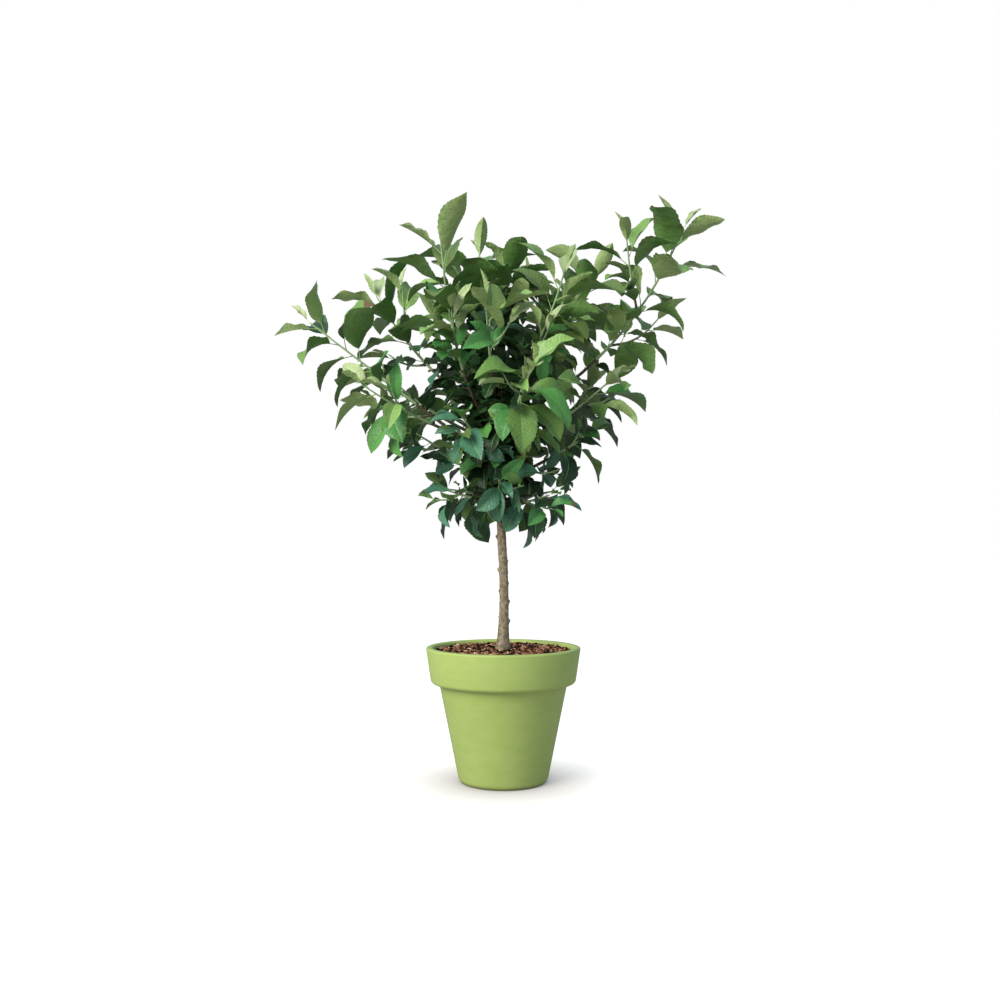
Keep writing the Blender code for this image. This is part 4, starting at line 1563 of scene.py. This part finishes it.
# Tints of the tops of leaves, in the settings' order, then those of ribs, undersides and dry tips.
TOPS = ("downy", "fresh", "bright", "olive", "brown_olive", "mid", "deep", "bluish", "waxy")
RIBS = ("pale_rib", "rib")
UNDERSIDES = ("pale_underside", "underside", "dark_underside")
DRY_TIP = "scorched"
DRY_SHARE = 0.05
# This share of the leaves strays from its spray's tint. A shoot's first three leaves have their own.
STRAY_SHARE = 0.4
YOUNG_TINTS = ("downy", "downy", "fresh")
# How often each tint is dealt out, from the crown's top to its foot and deep inside it.
# The deep tint, dealt out mostly deep inside the crown, is painted shade.
WEIGHTS = {
    "top": (0, 3, 2, 8, 5, 2, 1, 0, 0),
    "middle": (0, 2, 5, 4, 3, 6, 4, 1, 0),
    "foot": (0, 0, 1, 2, 2, 4, 4, 5, 1),
    "inside": (0, 0, 1, 1, 1, 2, 13, 1, 0),
}
TOP_FROM = 0.69
MIDDLE_FROM = 0.575
INSIDE_REACH = 0.085


def zone(grown):
    """The part of the crown that a leaf is in."""
    root = grown.leaf.root
    if (root - trunk_axis(root.z)).xy.length < INSIDE_REACH and grown.rank >= SPUR_RANK:
        return "inside"
    if root.z > TOP_FROM:
        return "top"
    return "middle" if root.z > MIDDLE_FROM else "foot"


def tints_of(grown, rng):
    """The tints of a leaf's top, rib, underside and tip, from its place and its spray."""
    weights = WEIGHTS[zone(grown)]
    spray = random.Random(str(grown.place.twist))
    top = spray.choices(TOPS, weights)[0]
    if rng.random() < STRAY_SHARE:
        top = rng.choices(TOPS, weights)[0]
    if grown.leaf.root.z > MIDDLE_FROM and grown.rank < len(YOUNG_TINTS):
        top = YOUNG_TINTS[grown.rank]
    if top in ("downy", "fresh"):
        return top, "pale_rib", "pale_underside", top
    tip = DRY_TIP if rng.random() < DRY_SHARE else top
    # Deep and bluish leaves take the darker underside, which is painted shade.
    if top in ("deep", "bluish"):
        return top, "rib", "dark_underside", tip
    return top, "rib", "underside", tip


def leaf_green(name, colour):
    """An apple leaf: dull wax over cockled tissue, furrowed along side veins 7 to 8 mm apart."""
    made, shader = new_material(name, colour, roughness=0.42, ior=1.45, specular=0.42)
    place = add_node(made, "ShaderNodeAttribute", attribute_name="leaf_place").outputs["Vector"]
    parts = add_node(made, "ShaderNodeSeparateXYZ", {0: place}).outputs
    cockle = grain(made, COCKLE_SIZE, detail=3.0)

    def sum_of(value, factor, addend):
        inputs = {0: value, 1: factor, 2: addend}
        return add_node(made, "ShaderNodeMath", inputs, operation="MULTIPLY_ADD").outputs[0]

    # The veins leave the rib at about 55 degrees, bend forwards to the margin, and wander a little.
    side = add_node(made, "ShaderNodeMath", {0: parts["X"]}, operation="ABSOLUTE").outputs[0]
    slope = sum_of(side, -VEIN_BEND, -VEIN_SLOPE)
    ahead = sum_of(side, slope, sum_of(cockle, VEIN_WANDER, parts["Y"]))
    phase = sum_of(ahead, 2 * math.pi / VEIN_SPACING, 0.0)
    wave = add_node(made, "ShaderNodeMath", {0: phase}, operation="SINE").outputs[0]
    quilt = add_node(made, "ShaderNodeMath", {0: wave, 1: QUILT_SHAPE}, operation="SMOOTH_MIN").outputs[0]
    # The cockling is some 9 mm wide and much deeper than the furrows.
    roughen(made, shader, sum_of(cockle, COCKLE_DEPTH / QUILT_DEPTH, quilt), QUILT_DEPTH)
    return made


class PATIOTREE_OT_leaves(bpy.types.Operator):
    """Unfolds the leaves, each a folded, arched and quilted blade, tinted spray by spray"""

    bl_idname = "patio_tree.leaves"
    bl_label = "Leaves"

    def execute(self, context):
        colours = settings("leaf")
        rng = random.Random("blades")
        order = sorted(crown().leaves, key=lambda grown: grown.leaf.root.z)
        tall = [f"leaves_{limb.name}" for limb in LIMBS + (LEADER,) if limb.height > TOP_FROM]
        low = [name for name in MASSES if name not in tall]
        middle = len(order) // 2
        tints = TOPS + RIBS + UNDERSIDES + (DRY_TIP,)
        lowest, highest = (np.array(corner) for corner in CAD_BOX)
        halves = (
            ("lower_leaves", low, order[:middle]),
            ("upper_leaves", tall, order[middle:]),
        )
        for name, masses, chosen in halves:
            leaves = Gathering()
            places = []
            for grown in chosen:
                foot_share = min(1.0, max(0.0, (TOP_FROM - grown.leaf.root.z) / (TOP_FROM - LOW)))
                width = grown.leaf.width * (1 + BROADER_AT_FOOT * foot_share)
                points, faces, sides, place = blade(grown.leaf._replace(width=width), rng)
                finishes = [tints.index(tint) for tint in tints_of(grown, rng)]
                leaves.add(np.clip(points, lowest, highest), faces, [finishes[side] for side in sides])
                places.append(place)
            piece = leaves.piece(name, LEAF_CREASE)
            mark = piece.data.attributes.new("leaf_place", "FLOAT_VECTOR", "POINT")
            mark.data.foreach_set("vector", np.concatenate(places).ravel())
            finishes = [leaf_green(f"apple_leaf_{tint}", getattr(colours, tint)) for tint in tints]
            settle(piece, masses, finishes)
        return {"FINISHED"}


# Stage

FLOOR_SIZE = 30.0
# The floor's painted contact shadow: how far it reaches, how steeply it darkens, and its rays.
CONTACT_REACH = 0.13
CONTACT_POWER = 1.5
CONTACT_RAYS = 12
GLOW_THROWN = 0.22
KEY_SIZE = 1.7
KEY_PLACE = (-1.80, -2.00, 1.95)
KEY_AIM = (0, 0, 0.45)
# The picture is this many pixels wide, and a pixel is this much of the tree.
PIXELS = 1000
PIXEL = 0.001618
SENSOR = 36.0
CAMERA_ASIDE = -3.3 * PIXEL
CAMERA_SHIFT = 0.038
NEAREST_SEEN = 0.05


class PATIOTREE_OT_stage(bpy.types.Operator):
    """Sets the plain floor, the soft lights and the camera"""

    bl_idname = "patio_tree.stage"
    bl_label = "Stage"

    def execute(self, context):
        stage = settings("stage")
        floor = begin("floor", bpy.ops.mesh.primitive_plane_add, size=FLOOR_SIZE)
        paint, shader = new_material("painted_floor", stage.floor, roughness=0.9, specular=0.1)
        shader.inputs["Emission Color"].default_value = (1, 1, 1, 1)
        # The floor glows, as if lit from below, but throws little of that light on the plant. Where the
        # pot stands close above it, its glow fades softly in a painted contact shadow.
        reach = {"Distance": CONTACT_REACH}
        sky = add_node(paint, "ShaderNodeAmbientOcclusion", reach, samples=CONTACT_RAYS).outputs["AO"]
        seen = add_node(paint, "ShaderNodeLightPath").outputs["Is Camera Ray"]

        def calculated(operation, first, second):
            inputs = {0: first, 1: second}
            return add_node(paint, "ShaderNodeMath", inputs, operation=operation).outputs[0]

        glow = calculated("MULTIPLY", calculated("POWER", sky, CONTACT_POWER), stage.glow)
        glow = calculated("MULTIPLY", glow, calculated("MAXIMUM", seen, GLOW_THROWN))
        paint.node_tree.links.new(glow, shader.inputs["Emission Strength"])
        floor.data.materials.append(paint)
        world = bpy.data.worlds.new("soft_daylight")
        world.use_nodes = True
        context.scene.world = world
        # The backdrop is seen white, and lights the plant in the sky's colour.
        tree = world.node_tree
        light = tree.nodes["Background"]
        light.inputs["Color"].default_value = (*stage.sky_colour, 1)
        light.inputs["Strength"].default_value = stage.sky
        white = add_node(world, "ShaderNodeBackground", {"Color": (1, 1, 1, 1)}).outputs[0]
        seen = add_node(world, "ShaderNodeLightPath").outputs["Is Camera Ray"]
        blend = add_node(world, "ShaderNodeMixShader", {0: seen, 1: light.outputs[0], 2: white})
        tree.links.new(blend.outputs[0], tree.nodes["World Output"].inputs["Surface"])
        lamp = bpy.data.lights.new("key_light", "AREA")
        lamp.size = KEY_SIZE
        lamp.energy = stage.key
        lamp.color = stage.key_colour
        made = bpy.data.objects.new("key_light", lamp)
        made.location = KEY_PLACE
        aim = Vector(KEY_AIM) - made.location
        made.rotation_euler = aim.to_track_quat("-Z", "Y").to_euler()
        context.scene.collection.objects.link(made)
        camera = bpy.data.cameras.new("camera")
        made = bpy.data.objects.new("camera", camera)
        made.location = (CAMERA_ASIDE, -stage.distance, stage.eye_height)
        made.rotation_euler = (math.pi / 2, 0, 0)
        camera.lens = SENSOR * stage.distance / (PIXELS * PIXEL)
        camera.sensor_width = SENSOR
        camera.shift_y = CAMERA_SHIFT
        camera.clip_start = NEAREST_SEEN
        context.scene.collection.objects.link(made)
        context.scene.camera = made
        context.scene.view_settings.view_transform = "Standard"
        return {"FINISHED"}


OPERATORS = (
    PATIOTREE_OT_pot,
    PATIOTREE_OT_fill,
    PATIOTREE_OT_mulch,
    PATIOTREE_OT_trunk,
    PATIOTREE_OT_boughs,
    PATIOTREE_OT_shoots,
    PATIOTREE_OT_leaves,
    PATIOTREE_OT_stage,
)
SETTINGS = {
    "pot": PotSettings,
    "mulch": MulchSettings,
    "bark": BarkSettings,
    "leaf": LeafSettings,
    "stage": StageSettings,
}


class PATIOTREE_PT_panel(bpy.types.Panel):
    """Lists the settings and the pieces"""

    bl_idname = "PATIOTREE_PT_panel"
    bl_label = "Potted dwarf apple tree"
    bl_space_type = "VIEW_3D"
    bl_region_type = "UI"
    bl_category = "Patio tree"

    def draw(self, context):
        for group, kind in SETTINGS.items():
            box = self.layout.box()
            box.label(text=group.capitalize())
            for name in kind.__annotations__:
                box.prop(settings(group), name)
        for operator in OPERATORS:
            self.layout.operator(operator.bl_idname)


def register():
    for kind in (*SETTINGS.values(), *OPERATORS, PATIOTREE_PT_panel):
        bpy.utils.register_class(kind)
    for group, kind in SETTINGS.items():
        setattr(bpy.types.Scene, f"patio_tree_{group}", PointerProperty(type=kind))


def unregister():
    for group in SETTINGS:
        delattr(bpy.types.Scene, f"patio_tree_{group}")
    for kind in (PATIOTREE_PT_panel, *OPERATORS, *SETTINGS.values()):
        bpy.utils.unregister_class(kind)


def main():
    """Builds every piece and the stage."""
    register()
    for operator in OPERATORS:
        group, name = operator.bl_idname.split(".")
        getattr(getattr(bpy.ops, group), name)()


if __name__ == "__main__":
    main()
